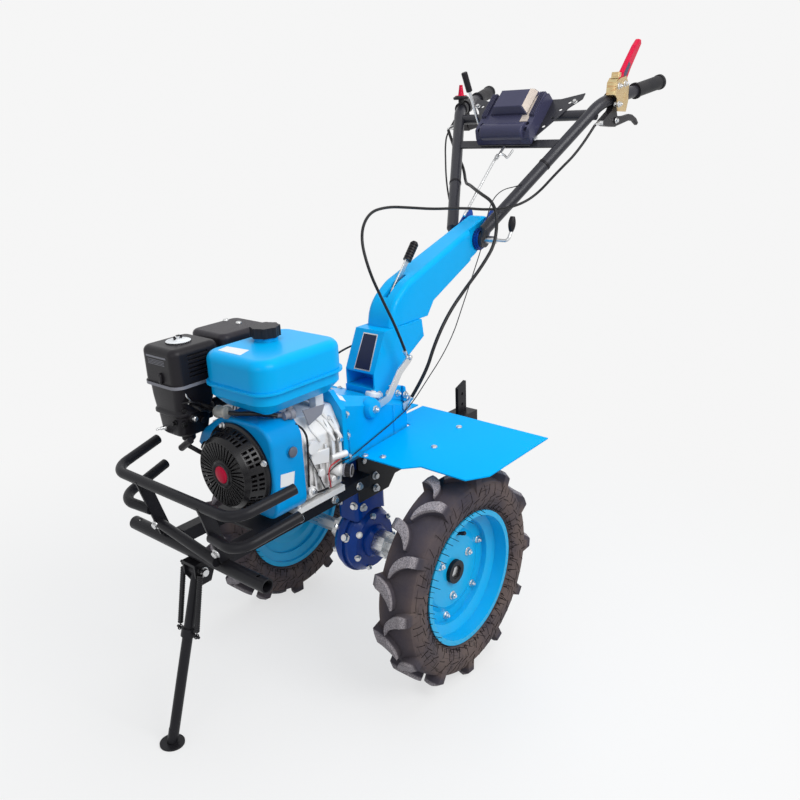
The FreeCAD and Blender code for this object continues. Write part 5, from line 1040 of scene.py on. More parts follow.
@dataclass
class Wheels:
    """The fastenings, valves and moulding hairs of both wheels."""

    half_track: float = 297.0
    outside: float = 340.0
    probe: float = 90.0
    hub_circle: float = 64.0
    rim_circle: float = 115.0
    bead: float = 166.0
    bead_hairs: int = 64
    wall_rings: tuple[tuple[float, int, float], ...] = ((184, 40, 0.2), (201, 46, 1.2), (218, 50, 0.3))
    hair_length: float = 23.0
    bead_hair_radius: float = 1.15
    wall_hair_radius: float = 0.95

    def frame(self, side: int) -> Matrix:
        """A frame that carries the left wheel's places to a side."""
        return MACHINE @ Matrix.Diagonal((1, side, 1, 1))

    def fastenings(self, side: int, body: str) -> None:
        """The disc's bolts and nuts.

        Args:
            side: 1 for the left wheel and -1 for the right one.
            body: The wheel's body.
        """
        disc = Surface("left_rim")
        for name, kind, circle, start, count in (("hub", Bolt(14, 7, 11, 4), self.hub_circle, 157, 3),
                                                 ("rim", Bolt(13, 6, 10, 3.5), self.rim_circle, 164, 6)):
            seats = []
            for index in range(count):
                across, up, _ = polar(circle, math.radians(start - 360 / count * index))
                seats.append(disc.seat((across, self.outside, up), (0, -1, 0), 23 * index))
            bolted(f"{body}_{name}_bolts", kind, seats, body, self.frame(side))

    def valve(self, side: int, body: str) -> None:
        """The tyre valve through the disc.

        Args:
            side: 1 for the left wheel and -1 for the right one.
            body: The wheel's body.
        """
        work = Work(self.frame(side))
        at = facing((-14, 280, 92), (-0.1, 1, 0.3))
        work.turned([(0, -2), (7, -2), (7, 2), (4.4, 4), (4, 22), (5, 22.4), (5, 31), (3.4, 33), (0, 33)],
                    at, 16)
        work.piece(body + "_valve", Finishes.grip, body)

    def whiskers(self, side: int, body: str) -> None:
        """The thin rubber hairs that the tyre's mould leaves round its bead and over its side walls.

        Args:
            side: 1 for the left wheel and -1 for the right one.
            body: The wheel's body.
        """
        tread = Surface("left_tyre")
        work = Work(self.frame(side))
        for face in (1, -1):
            for index in range(self.bead_hairs):
                angle = math.tau * (index + 0.3 * math.sin(index * 7.3)) / self.bead_hairs
                self.bead_hair(work, tread, angle, face, index)
            for radius, count, lean in self.wall_rings:
                for index in range(count):
                    angle = math.tau * (index + 0.3 * math.sin(index * 5.1 + radius)) / count
                    turned = lean + 0.25 * math.sin(index * 2.7 + radius)
                    self.wall_hair(work, tread, angle, radius, turned, face)
        work.piece(body + "_whiskers", Finishes.whisker, body)

    def bead_hair(self, work: Work, tread: Surface, angle: float, face: int, index: int) -> None:
        """One hair that stands out from the wall and droops over the rim.

        Args:
            work: The mesh it goes to.
            tread: The tyre's faces.
            angle: Where it stands round the wheel.
            face: 1 for the wheel's outer face and -1 for its inner one.
            index: Its place in the row, which varies its swing and reach.
        """
        out = Vector((math.cos(angle), 0, math.sin(angle)))
        along = Vector((-out.z, 0, out.x))
        swing = 0.22 * math.sin(index * 3.1)
        way = out * math.cos(swing) + along * math.sin(swing)
        off = Vector((0, face, 0))
        beside = off * self.probe + Vector((0, self.half_track, 0))
        foot, _ = tread.meet(out * self.bead + way * 14 + beside, -off)
        bead, _ = tread.meet(out * (self.bead + 3) + beside, -off)
        reach = 18 + 9 * math.sin(index * 1.9)
        root = foot.lerp(bead, 0.8)
        work.tube([foot + off * 0.4, root + off * 2, root - way * 5 + off * reach],
                  self.bead_hair_radius, 4, 0.6)

    def wall_hair(self, work: Work, tread: Surface, angle: float, radius: float, lean: float,
                  face: int) -> None:
        """One hair that lies along the side wall.

        Args:
            work: The mesh it goes to.
            tread: The tyre's faces.
            angle: Where it lies round the wheel.
            radius: How far its middle is from the axle.
            lean: Its turn from pointing outward.
            face: 1 for the wheel's outer face and -1 for its inner one.
        """
        line = []
        for step in (-0.5, 0.0, 0.5):
            reach = radius + self.hair_length * step * math.cos(lean)
            turn = angle + self.hair_length * step * math.sin(lean) / radius
            across, up, _ = polar(reach, turn)
            spot, normal = tread.meet((across, self.half_track + face * self.probe, up), (0, -face, 0))
            line.append(spot + normal * 0.2)
        work.tube(line, self.wall_hair_radius, 4, 0.8)

    def build(self) -> None:
        """Builds both wheels' trim."""
        for side, body in ((1, "left_wheel"), (-1, "right_wheel")):
            self.fastenings(side, body)
            self.valve(side, body)
            self.whiskers(side, body)


@dataclass
class Transmission:
    """Bolts, nameplate and small fittings of the gearbox, column and final drive."""

    case_circle: float = 70.0
    case_bolts: int = 7
    case_start: float = -118.0
    case_step: float = 51.4

    def final_drive(self) -> None:
        """The case's bolts and its drain plug."""
        case = Surface("final_drive", "gear_column")
        for side, name in ((1, "left"), (-1, "right")):
            seats = []
            for index in range(self.case_bolts):
                turn = math.radians(self.case_start + self.case_step * index)
                across, up, _ = polar(self.case_circle, turn)
                seats.append(case.seat((across, side * 90, up), (0, -side, 0), 17 * index))
            bolted(f"case_bolts_{name}", Bolt(12, 6, 8.5), seats)
        seats = [case.seat((-24, 0, -130), (0, 0, 1)), case.seat((130, 10, 34), (-1, 0, 0))]
        bolted("drain_plugs", Bolt(17, 8, 12), seats)

    def column(self) -> None:
        """The bolts up the column's front and sides, and through the fender brackets."""
        front = Surface("gear_column")
        seats = [front.seat((120, side * 24, up), (-1, 0, 0), up)
                 for side in (1, -1) for up in (118, 160, 196)]
        seats += [front.seat((along, side * 90, up), (0, -side, 0), up) for side in (1, -1)
                  for along, up in ((28, 236), (36, 110))]
        brackets = Surface("fender_brackets")
        seats += [brackets.seat((along, side * 300, up), (0, -side, 0), up) for side in (1, -1)
                  for along, up in ((-10, 182), (-10, 148), (-70, 250))]
        bolted("column_bolts", Bolt(14, 7, 10.5), seats)

    def gearbox(self) -> None:
        """The bell housing's bolts, the lid's screws, the filler plug and the small blank label."""
        case = Surface("gearbox")
        seats = [case.seat((60, side * 96, up), (1, 0, 0), up) for side in (1, -1) for up in (300, 352, 404)]
        seats += [case.seat((60, across, up), (1, 0, 0)) for across in (-52, 0, 52) for up in (452, 256)]
        bolted("bell_bolts", Bolt(12, 7, 9), seats)
        seats = [case.seat((along, across, 520), (0, 0, -1), along) for along, across in
                 ((-100, -50), (-8, -58), (56, -64), (112, -70))]
        bolted("lid_screws", Bolt(10, 4.5, 7), seats)
        work = Work()
        work.turned([(0, -3), (17, -3), (19, -1), (19, 8), (17, 10), (6, 10.6), (6, 13), (0, 13)],
                    case.seat((-8, 51, 520), (0, 0, -1)), 24)
        work.piece("filler_plug", Finishes.alloy)
        work = Work()
        case.label(work, [(112, 44, 500), (136, 44, 500), (136, 72, 500), (112, 76, 500)], (0, 0, -1),
                   steps=3)
        work.piece("gearbox_label", Finishes.label)
        self.castings(case)

    def castings(self, case: Surface) -> None:
        """The lever's round boss, the selector housing at the rear and the ribs down the casting's side.

        Args:
            case: The gearbox's faces.
        """
        work = Work()
        work.turned([(0, -6), (26, -6), (25, 6), (21, 15), (17, 17), (0, 17)],
                    facing((34, 79, 384), (0, 1, 0)), 32)
        work.prism([(-121, 350), (-64, 370), (-70, 398), (-80, 402), (-116, 392)], 18, 58, upright(), 3.0)
        work.prism([(-121, 350), (-108, 354), (-108, 396), (-116, 392)], 58, 66, upright(), 2.0)
        for along in (120, -60):
            line = [case.meet((along, 160, up), (0, -1, 0))[0] for up in (290, 325, 360)]
            work.tube(line, 3.0, 8)
        work.piece("gearbox_castings", Finishes.cast_blue, bevel=1.5)
        seats = [facing((-92, 58, 380), (0, 1, 0)), facing((-80, 40, 400), (-0.25, 0, 1)),
                 facing((-112, 66, 372), (0, 1, 0))]
        bolted("selector_bolts", Bolt(10, 6, 8.5, 3), seats)

    def seat(self) -> None:
        """The seat's blank plate in its border, and its foot bolts."""
        post = Surface("handle_seat")
        for name, finish, grow, lift in (("plate_border", Finishes.steel, 2.5, 0.6),
                                         ("plate_face", Finishes.nameplate, 0.0, 1.1)):
            work = Work()
            low, high = 452 - grow, 530 + grow
            post.label(work, [(200, 29 + grow, low), (200, -17 - grow, low), (200, -15 - grow, high),
                              (200, 26 + grow, high)], (-1, 0, 0), lift, 2)
            work.piece(name, finish, "chassis")
        seats = [post.seat((along, side * 90, up), (0, -side, 0)) for side in (1, -1)
                 for along, up in ((-36, 390), (-70, 384))]
        bolted("seat_bolts", Bolt(13, 6, 9.5), seats)

    def clutch(self) -> None:
        """The clutch lever's pivot cap, the cable's barrel and the cable stop."""
        arm = Surface("clutch_lever")
        bolted("clutch_pivot", Bolt(14, 6, 10, 4), [arm.seat((34, 140, 384), (0, -1, 0))])
        work = Work()
        tip = arm.seat((-106, 140, 475), (0, -1, 0))
        work.turned(boss(5.5, -8, 6, 1), tip, 16)
        work.turned([(0, -4), (3.2, -4), (3.2, 16), (5, 17), (5, 26), (0, 26)],
                    facing((-103, 86, 470), (0.43, 0.02, 0.9)), 12)
        work.piece("clutch_barrel", Finishes.steel)
        work = Work()
        work.prism([(-128, 356), (-100, 352), (-100, 336), (-112, 326), (-128, 330)], -70, -66,
                   Matrix(((1, 0, 0, 0), (0, 0, -1, 0), (0, 1, 0, 0), (0, 0, 0, 1))))
        work.turned([(0, -14), (6, -14), (6, 10), (7.5, 10), (7.5, 16), (0, 16)],
                    facing((-122, 68, 350), (-0.38, 0.45, 0.95)), 14)
        work.piece("cable_stop", Finishes.steel, bevel=0.6)

    def build(self) -> None:
        """Builds the transmission's trim."""
        self.final_drive()
        self.column()
        self.gearbox()
        self.seat()
        self.clutch()


@dataclass
class Engine:
    """Fuel line, wiring, screws, labels and small castings of the engine."""

    recoil_face: Spot = (417, 0, 340)
    recoil_back: Spot = (367, 0, 340)
    flange_circle: float = 95.0
    fuel_tap: Spot = (290, 84, 452)
    oil_sender: Spot = (178, 88, 284)
    cleaner_stud: Spot = (376, -150, 602)
    cleaner_top: Spot = (376, -150, 596)

    def labels(self) -> None:
        """The blank labels on tank, fan housing and air cleaner, and the housing's grey plug."""
        tank, housing, cleaner = Surface("fuel_tank"), Surface("fan_shroud"), Surface("air_filter")
        work = Work()
        tank.label(work, [(361, -37, 640), (332, -44, 640), (326, 20, 640), (361, 33, 640)], (0, 0, -1))
        work.piece("tank_label", Finishes.label)
        work = Work()
        housing.label(work, [(351, 160, 342), (312, 160, 336), (318, 160, 308), (355, 160, 314)], (0, -1, 0),
                      steps=3)
        work.piece("shroud_label", Finishes.label)
        work = Work()
        work.turned([(0, -1), (11.5, -1), (11.5, 1.2), (10, 2.6), (6, 3.4), (0, 3.6)],
                    housing.seat((316, 160, 382), (0, -1, 0)), 28)
        work.piece("shroud_plug", Finishes.grey_plastic)
        work = Work()
        cleaner.label(work, [(500, -115, 579), (500, -184, 579), (500, -184, 575), (500, -115, 575)],
                      (-1, 0, 0), 0.4, 4)
        for row in range(4):
            high = 571 - 3.2 * row
            cleaner.label(work, [(500, -122, high), (500, -180, high), (500, -180, high - 1.2),
                                 (500, -122, high - 1.2)], (-1, 0, 0), 0.3, 3)
        work.piece("filter_label", Finishes.pale_rim)

    def fuel_line(self) -> None:
        """The inline filter and its hoses."""
        work = Work()
        at = facing((366, -66, 452), (0, 1, 0.12))
        work.turned([(0, 0), (4, 0), (4, 5), (13, 8), (14, 10), (14, 16), (12.5, 17), (12.5, 36), (14, 37),
                     (14, 43), (13, 45), (4, 48), (4, 53), (0, 53)], at, 20)
        work.piece("fuel_filter", Finishes.milky)
        work = Work()
        work.tube(run_through([(366, -62, 452.5), (366, -84, 455), (372, -104, 462), (378, -118, 452)]),
                  5, 10)
        work.tube(run_through([(366, -16, 458), (364, 6, 460), (352, 34, 462), (330, 58, 458),
                               (312, 70, 452)]), 5, 10)
        work.piece("fuel_hoses", Finishes.wire)
        work = Work()
        work.turned([(0, -16), (9, -16), (9, -4), (12, -2), (12, 8), (9, 10), (0, 10)],
                    facing(self.fuel_tap, (-1, 0.1, 0)), 16)
        work.turned([(0, 0), (6, 0), (6, 14), (8, 14), (8, 19), (0, 19)],
                    facing(self.fuel_tap, (0, 0, 1)), 14)
        work.turned(boss(5, 0, 26), facing((296, 78, 452), (0.7, -0.4, 0)), 12)
        work.piece("fuel_tap", Finishes.pale_rim)

    def wiring(self) -> None:
        """The black lead down the crankcase and the thin red one."""
        work = Work()
        work.tube(run_through([(288, 96, 432), (273, 100, 416), (264, 101, 396), (263, 101, 370),
                               (265, 101, 341), (267, 101, 307), (267, 100, 277), (251, 98, 258),
                               (228, 97, 252), (206, 95, 250)]), 2.4, 8)
        work.tube(run_through([(264, 99, 356), (250, 100, 324), (236, 100, 292), (218, 97, 255)]), 1.3, 8)
        work.piece("engine_lead", Finishes.wire)
        work = Work()
        work.tube(run_through([(170, 101, 308), (197, 102, 304), (206, 102, 294), (208, 102, 278),
                               (203, 100, 262), (199, 96, 249)]), 1.5, 8)
        work.piece("red_lead", Finishes.red_wire)

    def crankcase(self) -> None:
        """Bosses, ribs, bolts and the oil sender on the crankcase's left side."""
        case = Surface("crankcase", "gearbox")
        seats = [case.seat((x, 160, z), (0, -1, 0), x) for x, z in (
            (176, 404), (166, 356), (170, 262), (262, 268), (214, 246), (276, 380))]
        seats += [case.seat((x, 88, 300), (0, 0, -1), x) for x in (170, 234, 292)]
        bolted("crankcase_bolts", Bolt(10, 5, 7.5), seats)
        work = Work()
        at = facing(self.oil_sender, (-0.55, 1, -0.05))
        work.turned([(0, -4), (15, -4), (15, 16), (12.5, 19), (12.5, 28), (0, 28)], at, 24)
        work.turned(boss(8, 0, 14, 2), case.seat((192, 160, 270), (0, -1, 0)), 20)
        work.turned([(0, 0), (7, 0), (7, 10), (9, 11), (9, 17), (0, 17)],
                    case.seat((232, 160, 300), (0, -1, 0)), 20)
        work.tube([Vector((192, 96, 319)), Vector((168, 99, 317)), Vector((148, 102, 316))], 8, 16)
        work.prism([(250, 350), (194, 345), (198, 310), (252, 322)], 82, 98, upright(), 2.0)
        for x in (254, 215, 184):
            work.turned([(0, -4), (11, -4), (10, 7), (8, 8), (0, 8)], case.seat((x, 86, 300), (0, 0, -1)), 20)
        work.piece("crankcase_bosses", Finishes.alloy, bevel=0.8)
        work = Work()
        rings = []
        for height in (26, 42):
            rings.append([at @ polar(13.5 + 0.9 * (step % 2), math.tau * step / 36, height)
                          for step in range(36)])
        work.skin(rings)
        work.turned(boss(10, 40, 45), at, 20)
        work.piece("sender_ring", Finishes.plastic, crease=20)
        work = Work()
        work.turned([(13, 24), (15.6, 24), (15.6, 28), (13, 28)], at, 28, closed=True)
        work.turned([(12, 41), (15.2, 41), (15.2, 43), (12, 43)], at, 28, closed=True)
        work.prism([(262, 453), (196, 447), (208, 428), (248, 414)], 92, 95, upright(), 0.6)
        work.piece("governor_guard", Finishes.pale_rim, bevel=0.5)
        work = Work()
        for spots, radius in ((((194, 432), (179, 406), (167, 372), (159, 345), (157, 322)), 5.5),
                              (((210, 417), (197, 398), (185, 367), (176, 326)), 4.0),
                              (((234, 412), (231, 392), (216, 367)), 4.0)):
            arc = [case.meet((spot.x, 180, spot.z), (0, -1, 0))[0]
                   for spot in run_through([(x, 0, z) for x, z in spots], 6)]
            work.tube(arc, radius, 8)
        work.piece("casting_beads", Finishes.alloy)

    def cleaner(self) -> None:
        """The air cleaner's pale cover disc, its wing nut, rim and latch."""
        work = Work()
        work.turned([(0, 0), (27, 0), (27, 2.4), (25, 3.4), (12, 4), (7, 6.5), (0, 6.5)],
                    Matrix.Translation(self.cleaner_top), 40)
        work.piece("cleaner_disc", Finishes.label)
        work = Work()
        stud = Matrix.Translation(self.cleaner_stud)
        for turn in (0, math.pi):
            wing = stud @ Matrix.Rotation(turn + 0.5, 4, "Z") @ Matrix.Scale(0.7, 4)
            work.prism([(3, 0), (8, 0), (13, 9), (10, 13), (6, 9), (3, 5)], -1.4, 1.4,
                       wing @ Matrix.Rotation(math.pi / 2, 4, "X"))
        work.turned([(0, -1), (6, -1), (5, 6), (3, 6), (0, 6)], stud, 16)
        work.piece("wing_nut", Finishes.steel, bevel=0.5)
        work = Work()
        work.turned(boss(8, -1, 5, 2),
                    facing((437, -140, 532), (1, 0, 0)) @ Matrix.Diagonal((1.5, 0.8, 1, 1)), 20)
        work.piece("cleaner_latch", Finishes.plastic)

    def muffler(self) -> None:
        """The silencer guard's two bright screws."""
        box = Surface("muffler")
        seats = [box.seat((x, y, 700), (0, 0, -1), 20 * x) for x, y in ((204, -204), (206, -156))]
        bolted("muffler_screws", Screw(7, 4), seats)

    def carburettor(self) -> None:
        """The intake bell round the carburettor, with its screws, stubs, bowl nut and hoses."""
        work = Work()
        rings = []
        # Each line is a height and the bell's least and greatest x and y there.
        for high, low_x, far_x, low_y, far_y in ((514, 318, 432, -203, -93), (482, 326, 430, -203, -100),
                                                 (456, 334, 427, -202, -104), (452, 331, 430, -204, -101),
                                                 (446, 331, 430, -204, -101), (442, 338, 425, -199, -106),
                                                 (402, 346, 423, -196, -110), (396, 350, 419, -192, -114)):
            outline = rounded(far_x - low_x, far_y - low_y, 20)
            rings.append([Vector(((low_x + far_x) / 2 + x, (low_y + far_y) / 2 + y, high))
                          for x, y in outline])
        work.skin(rings)
        work.turned([(0, -12), (12, -12), (15, -8), (15, 6), (0, 6)],
                    Matrix.Translation((396, -130, 394)), 20)
        work.turned(boss(9, -4, 14, 2), facing((400, -110, 440), (0, 1, 0)), 20)
        work.turned(boss(7, -4, 10), facing((372, -110, 428), (0, 1, -0.2)), 18)
        work.piece("intake_bell", Finishes.plastic, bevel=0.8)
        seats = [facing((416, -106, 462), (0.3, 1, 0)), facing((418, -109, 428), (0.2, 1, 0)),
                 facing((376, -105, 448), (0, 1, 0)), facing((425, -130, 430), (1, 0, 0))]
        bolted("carburettor_bolts", Bolt(9, 6, 6.5), seats, finish=Finishes.spring)
        work = Work()
        work.turned([(0, -2), (4, -2), (4, 10), (2.5, 12), (2.5, 20), (0, 20)],
                    facing((424, -172, 410), (1, -0.4, 0)), 14)
        work.turned(boss(6, -2, 10, 2), facing((400, -97, 440), (0, 1, 0)), 14)
        work.tube(run_through([(412, -98, 500), (410, -96, 490), (404, -96, 482), (408, -98, 474)]), 1.6, 8)
        work.piece("carburettor_stubs", Finishes.steel)
        work = Work()
        work.tube(run_through([(398, -104, 470), (396, -92, 466), (388, -84, 458), (372, -88, 452),
                               (356, -100, 440)]), 3.4, 8)
        work.tube(run_through([(420, -118, 474), (416, -96, 480), (400, -88, 478), (384, -90, 470)]), 2.2, 8)
        work.piece("breather_hoses", Finishes.wire)

    def starter(self) -> None:
        """The starter's red boss in its ring, the flange screws, and the fan wheel and rope pulley inside."""
        work = Work()
        work.turned([(0, -14), (70, -14), (82, -8), (82, 0), (66, 4), (60, 8), (64, 11), (64, 15), (57, 18),
                     (57, 25), (74.5, 30), (73.5, 37), (67.5, 43), (0, 43)],
                    facing(self.recoil_back, (1, 0, 0)), 48)
        work.piece("fan_wheel", Finishes.plastic)
        work = Work()
        at = facing(self.recoil_face, (1, 0, 0))
        work.turned([(0, 0), (27, 0), (27, 2.6), (25, 3.6), (21, 3), (19, 1.5), (0, 1.5)], at, 40)
        work.piece("starter_ring", Finishes.plastic)
        work = Work()
        work.turned([(0, 1), (19, 1), (19, 2.4), (17, 3.4), (8, 4), (0, 4)], at, 40)
        work.piece("starter_boss", Finishes.red)
        guard = Surface("recoil_starter", "fan_shroud")
        seats = []
        for turn in (20, 110, 290):
            across, up, _ = polar(self.flange_circle, math.radians(turn))
            seats.append(guard.seat((470, across, self.recoil_face[2] + up), (-1, 0, 0), turn))
        bolted("starter_screws", Bolt(9, 5, 7), seats)

    def build(self) -> None:
        """Builds the engine's trim."""
        self.labels()
        self.fuel_line()
        self.wiring()
        self.crankcase()
        self.cleaner()
        self.muffler()
        self.carburettor()
        self.starter()


@dataclass
class Guard:
    """Bolts of the guard, the frame and the stand."""

    def build(self) -> None:
        """Builds the guard's fastenings."""
        uprights = Surface("guard_uprights", "front_cross_tube", "lower_guard_tubes")
        seats = [uprights.seat((620, side * 100, 240), (-1, 0, 0)) for side in (1, -1)]
        bolted("guard_bolts", Bolt(13, 6, 10), seats)
        seats = [facing((508, side * 21.2, 160), (0, side, 0)) for side in (1, -1)]
        bolted("stand_bolts", Bolt(15, 7, 11), seats)
        rails = Surface("engine_frame")
        seats = [rails.seat((x, side * 160, 207), (0, -side, 0)) for side in (1, -1) for x in (96, 180, 290)]
        bolted("rail_bolts", Bolt(13, 6, 10), seats)


@dataclass
class Fenders:
    """The fenders' screws."""

    places: tuple[tuple[float, float], ...] = ((-182, 180), (-46, 204), (67, 140), (84, 100))

    def build(self) -> None:
        """Builds the screws of both fenders."""
        sheet = Surface("left_fender", "right_fender")
        seats = [sheet.seat((x, side * y, 340), (0, 0, -1), x) for side in (1, -1) for x, y in self.places]
        bolted("fender_screws", Screw(8, 4.6), seats)


@dataclass
class Handlebar:
    """The panel's facings, the control brackets' bolts and springs, and the clips on the tubes."""

    bend: Spot = (-792.0, 232.0, 1038.0)
    foot: Spot = (-493.0, 53.0, 727.0)
    facing_thickness: float = 0.8
    facing_sunk: float = 0.5
    release_way: Spot = (-0.952, 0.221, 0.194)
    release_reach: float = 62.0
    rod_end: Spot = (-640, 0, 909)
    tube_radius: float = 16.0

    def panel(self) -> None:
        """The panel's plain brushed facing down its left side, and its bracket's bolts."""
        work = Work()
        leaning = Matrix(((1, 0, 0, 0), (0, 0.53, -0.848, -59), (0, 0.848, 0.53, 40.4), (0, 0, 0, 1)))
        falling = Matrix(((0.96, 0, 0.28, 126), (0, 1, 0, 0), (-0.28, 0, 0.96, 40), (0, 0, 0, 1)))
        level = Matrix.Translation((0, 0, 40))
        base = MACHINE.inverted() @ PANEL
        for outline, face in (
                ([(67.5, 0.8), (149, 0.8), (149, 13.5), (140, 25), (77, 25)], leaning),
                ([(39, -46), (39, -70.5), (126, -70.5), (126, -59.6), (63, -59.6), (63, -46)], level),
                ([(0, -59.6), (0, -70.5), (24, -70.5), (24, -59.6)], falling)):
            work.prism(outline, -self.facing_sunk, self.facing_thickness, base @ face, 0.2)
        work.piece("panel_facing", Finishes.grey_panel, "handlebar")
        seats = [facing((along, side * across, 0), (0, 0, 1))
                 for side in (1, -1) for along, across in ((14, 92), (146, 160))]
        bolted("panel_bolts", Bolt(10, 5, 7), seats, "handlebar", PANEL)

    def pivots(self) -> None:
        """The bolts that the hand levers turn on, and their clamps' bolts."""
        levers = Surface("hand_levers")
        seats = [levers.seat((along, side * 320, up), (0, -side, 0))
                 for along, up in ((-846, 992), (-828, 1036)) for side in (1, -1)]
        bolted("lever_pivots", Bolt(10, 5, 7.5), seats, "handlebar")

    def release(self) -> None:
        """The release bracket's bolts, copper spring and bent tab, and the red lever's dark patch."""
        seat = Vector(self.bend) + Vector(self.release_way) * self.release_reach
        root = seat + Vector((-10, 5.3, 43))
        plate = Surface("release_bracket")
        seats = [plate.seat((seat.x + along, 330, seat.z + up), (0, -1, 0), along) for along, up in
                 ((-8, 36), (30, 30), (26, -16))]
        bolted("release_bolts", Bolt(11, 6, 8.5, 3), seats, "handlebar")
        work = Work()
        coil = [root + Vector((8.5 * math.cos(math.tau * step / 12), -13 + step * 0.2,
                               8.5 * math.sin(math.tau * step / 12))) for step in range(61)]
        work.tube([root + Vector((34, -13, 2)), *coil, root + Vector((-16, 0, 22))], 1.3, 6)
        work.piece("release_spring", Finishes.copper, "handlebar")
        work = Work()
        work.prism([(44, 40), (48, 8), (34, 2), (28, 26), (20, 48), (30, 52)], -4, 22, upright(seat), 1.0)
        work.prism([(18, 52), (34, 50), (30, 66), (16, 64)], 2, 24, upright(seat), 1.0)
        work.piece("release_tab", Finishes.zinc, "handlebar", bevel=1.0)
        work = Work()
        patch = [(2, 20), (-28, 50), (-38, 42), (-12, 10), (-2, 2)]
        work.prism(patch, 13.8, 14.8, upright(root), 0.3)
        work.prism(patch, -0.8, 0.2, upright(root))
        work.piece("release_patch", Finishes.panel, "handlebar")

    def hook(self) -> None:
        """The hooked end of the shift rod under the panel."""
        work = Work()
        work.tube(run_through([self.rod_end, (-652, 4, 916), (-656, 14, 912), (-650, 26, 906),
                               (-652, 34, 914), (-662, 38, 926)], 6), 3.2, 8)
        work.turned(boss(6, -6, 6), facing(self.rod_end, (0.3, 0, -0.2)), 14)
        work.piece("shift_hook", Finishes.steel, "handlebar")

    def clips(self) -> None:
        """The black clips that hold the cables to the tubes."""
        start, end = Vector(self.foot), Vector(self.bend)
        for side, name, share in ((1, "left", 0.52), (-1, "right", 0.36)):
            work = Work()
            spot = start.lerp(end, share)
            way = (end - start).normalized()
            spot.y *= side
            way.y *= side
            at = facing(tuple(spot), tuple(way))
            inner, outer = self.tube_radius + 0.2, self.tube_radius + 1.4
            work.turned([(inner, -3), (outer, -3), (outer, 3), (inner, 3)], at, 28, closed=True)
            work.turned(boss(6, -5, 5), facing(tuple(spot + Vector((8, 0, -17))), tuple(way)), 14)
            work.piece(f"clip_{name}", Finishes.plastic, "handlebar")

    def build(self) -> None:
        """Builds the handlebar's trim."""
        self.panel()
        self.pivots()
        self.release()
        self.hook()
        self.clips()


@dataclass
class Cables:
    """The Bowden cables, each one smooth line from its lever to what it pulls."""

    routes: dict[str, tuple[float, list[Spot]]] = field(default_factory=lambda: {
        "drive_cable": (9.0, [
            (-742.4, -241.2, 981.4), (-712, -196, 922), (-669, -135, 879), (-611, -88, 837), (-547, -32, 842),
            (-492, 33, 829), (-460, 113, 802), (-444, 124, 711), (-380, 122, 656), (-306, 120, 611),
            (-236, 117, 562), (-180, 113, 497), (-150, 102, 418), (-121, 67, 346)]),
        "clutch_cable": (7.0, [
            (-741.9, 242.4, 982.2), (-691, 227, 923), (-642, 188, 869), (-601, 147, 810), (-541, 117, 786),
            (-464, 88, 786), (-390, 51, 798), (-314, 19, 802), (-234, 3, 814), (-152, 2, 825), (-70, 13, 821),
            (-8, 39, 778), (-1, 66, 702), (-29, 81, 626), (-67, 87, 553), (-102.5, 85, 478.6)]),
        "throttle_cable": (5.0, [
            (-804, -250, 1023), (-774, -270, 974), (-731, -246, 933), (-689, -215, 898), (-648, -185, 860),
            (-615, -156, 815), (-588, -125, 767), (-559, -96, 719), (-518, -83, 673), (-474, -76, 629),
            (-429, -70, 585), (-378, -65, 547), (-322, -63, 519), (-262, -62, 500), (-199, -62, 492),
            (-136, -61, 493), (-73, -58, 494), (-10, -52, 491), (51, -39, 482), (110, -23, 470),
            (170.9, -10, 462.2)]),
    })
    stop_lead: tuple[Spot, ...] = (
        (-628, 124, 848), (-566, 112, 838), (-506, 106, 836), (-452, 112, 822), (-412, 120, 794),
        (-388, 126, 752), (-366, 129, 706), (-332, 133, 664), (-296, 135, 614), (-268, 131, 562),
        (-246, 123, 508), (-208, 112, 452), (-164, 96, 400), (-134, 80, 356), (-110, 70, 332),
        (-70, 71, 322), (-26, 75, 314), (29, 80, 306), (78, 85, 299), (112, 90, 296), (138, 102, 300),
        (168, 104, 303), (194, 103, 298), (212, 101, 286))
    fixed_end: Spot = (-430, 0, 640)
    moving_end: Spot = (-600, 0, 830)

    def line(self, name: str, spots: Sequence[Spot]) -> list[Vector]:
        """The smooth line of a route.

        Args:
            name: What the line is called while it is made.
            spots: The route's points.

        Returns:
            Points on the line.
        """
        curve = bpy.data.curves.new(name + "_line", "CURVE")
        curve.dimensions = "3D"
        curve.resolution_u = 14
        spline = curve.splines.new("NURBS")
        spline.points.add(len(spots) - 1)
        for point, spot in zip(spline.points, spots):
            point.co = (*spot, 1.0)
        spline.order_u = 3
        spline.use_endpoint_u = True
        holder = bpy.data.objects.new(name + "_line", curve)
        flat = bpy.data.meshes.new_from_object(holder)
        line = [vertex.co.copy() for vertex in flat.vertices]
        bpy.data.objects.remove(holder)
        bpy.data.curves.remove(curve)
        bpy.data.meshes.remove(flat)
        return line

    def dress(self, name: str, spots: Sequence[Spot], radius: float, sides: int) -> bpy.types.Object:
        """One cable, bending between the column's foot and the handlebar.

        Args:
            name: The piece's name.
            spots: Its route.
            radius: Its radius.
            sides: How many sides it has.

        Returns:
            The piece.
        """
        work = Work()
        work.tube(self.line(name, spots), radius, sides)
        made = work.piece(name, Finishes.wire, None)
        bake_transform(made)
        return made

    def build(self) -> None:
        """Builds each cable over its CAD solid, and the thin stop lead."""
        for name, (across, spots) in self.routes.items():
            made = self.dress(name + "_run", spots, across / 2, 12)
            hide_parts(name)
        self.dress("stop_lead", self.stop_lead, 1.3, 8)


# ---- Light, floor and camera ------------------------------------------------------------------

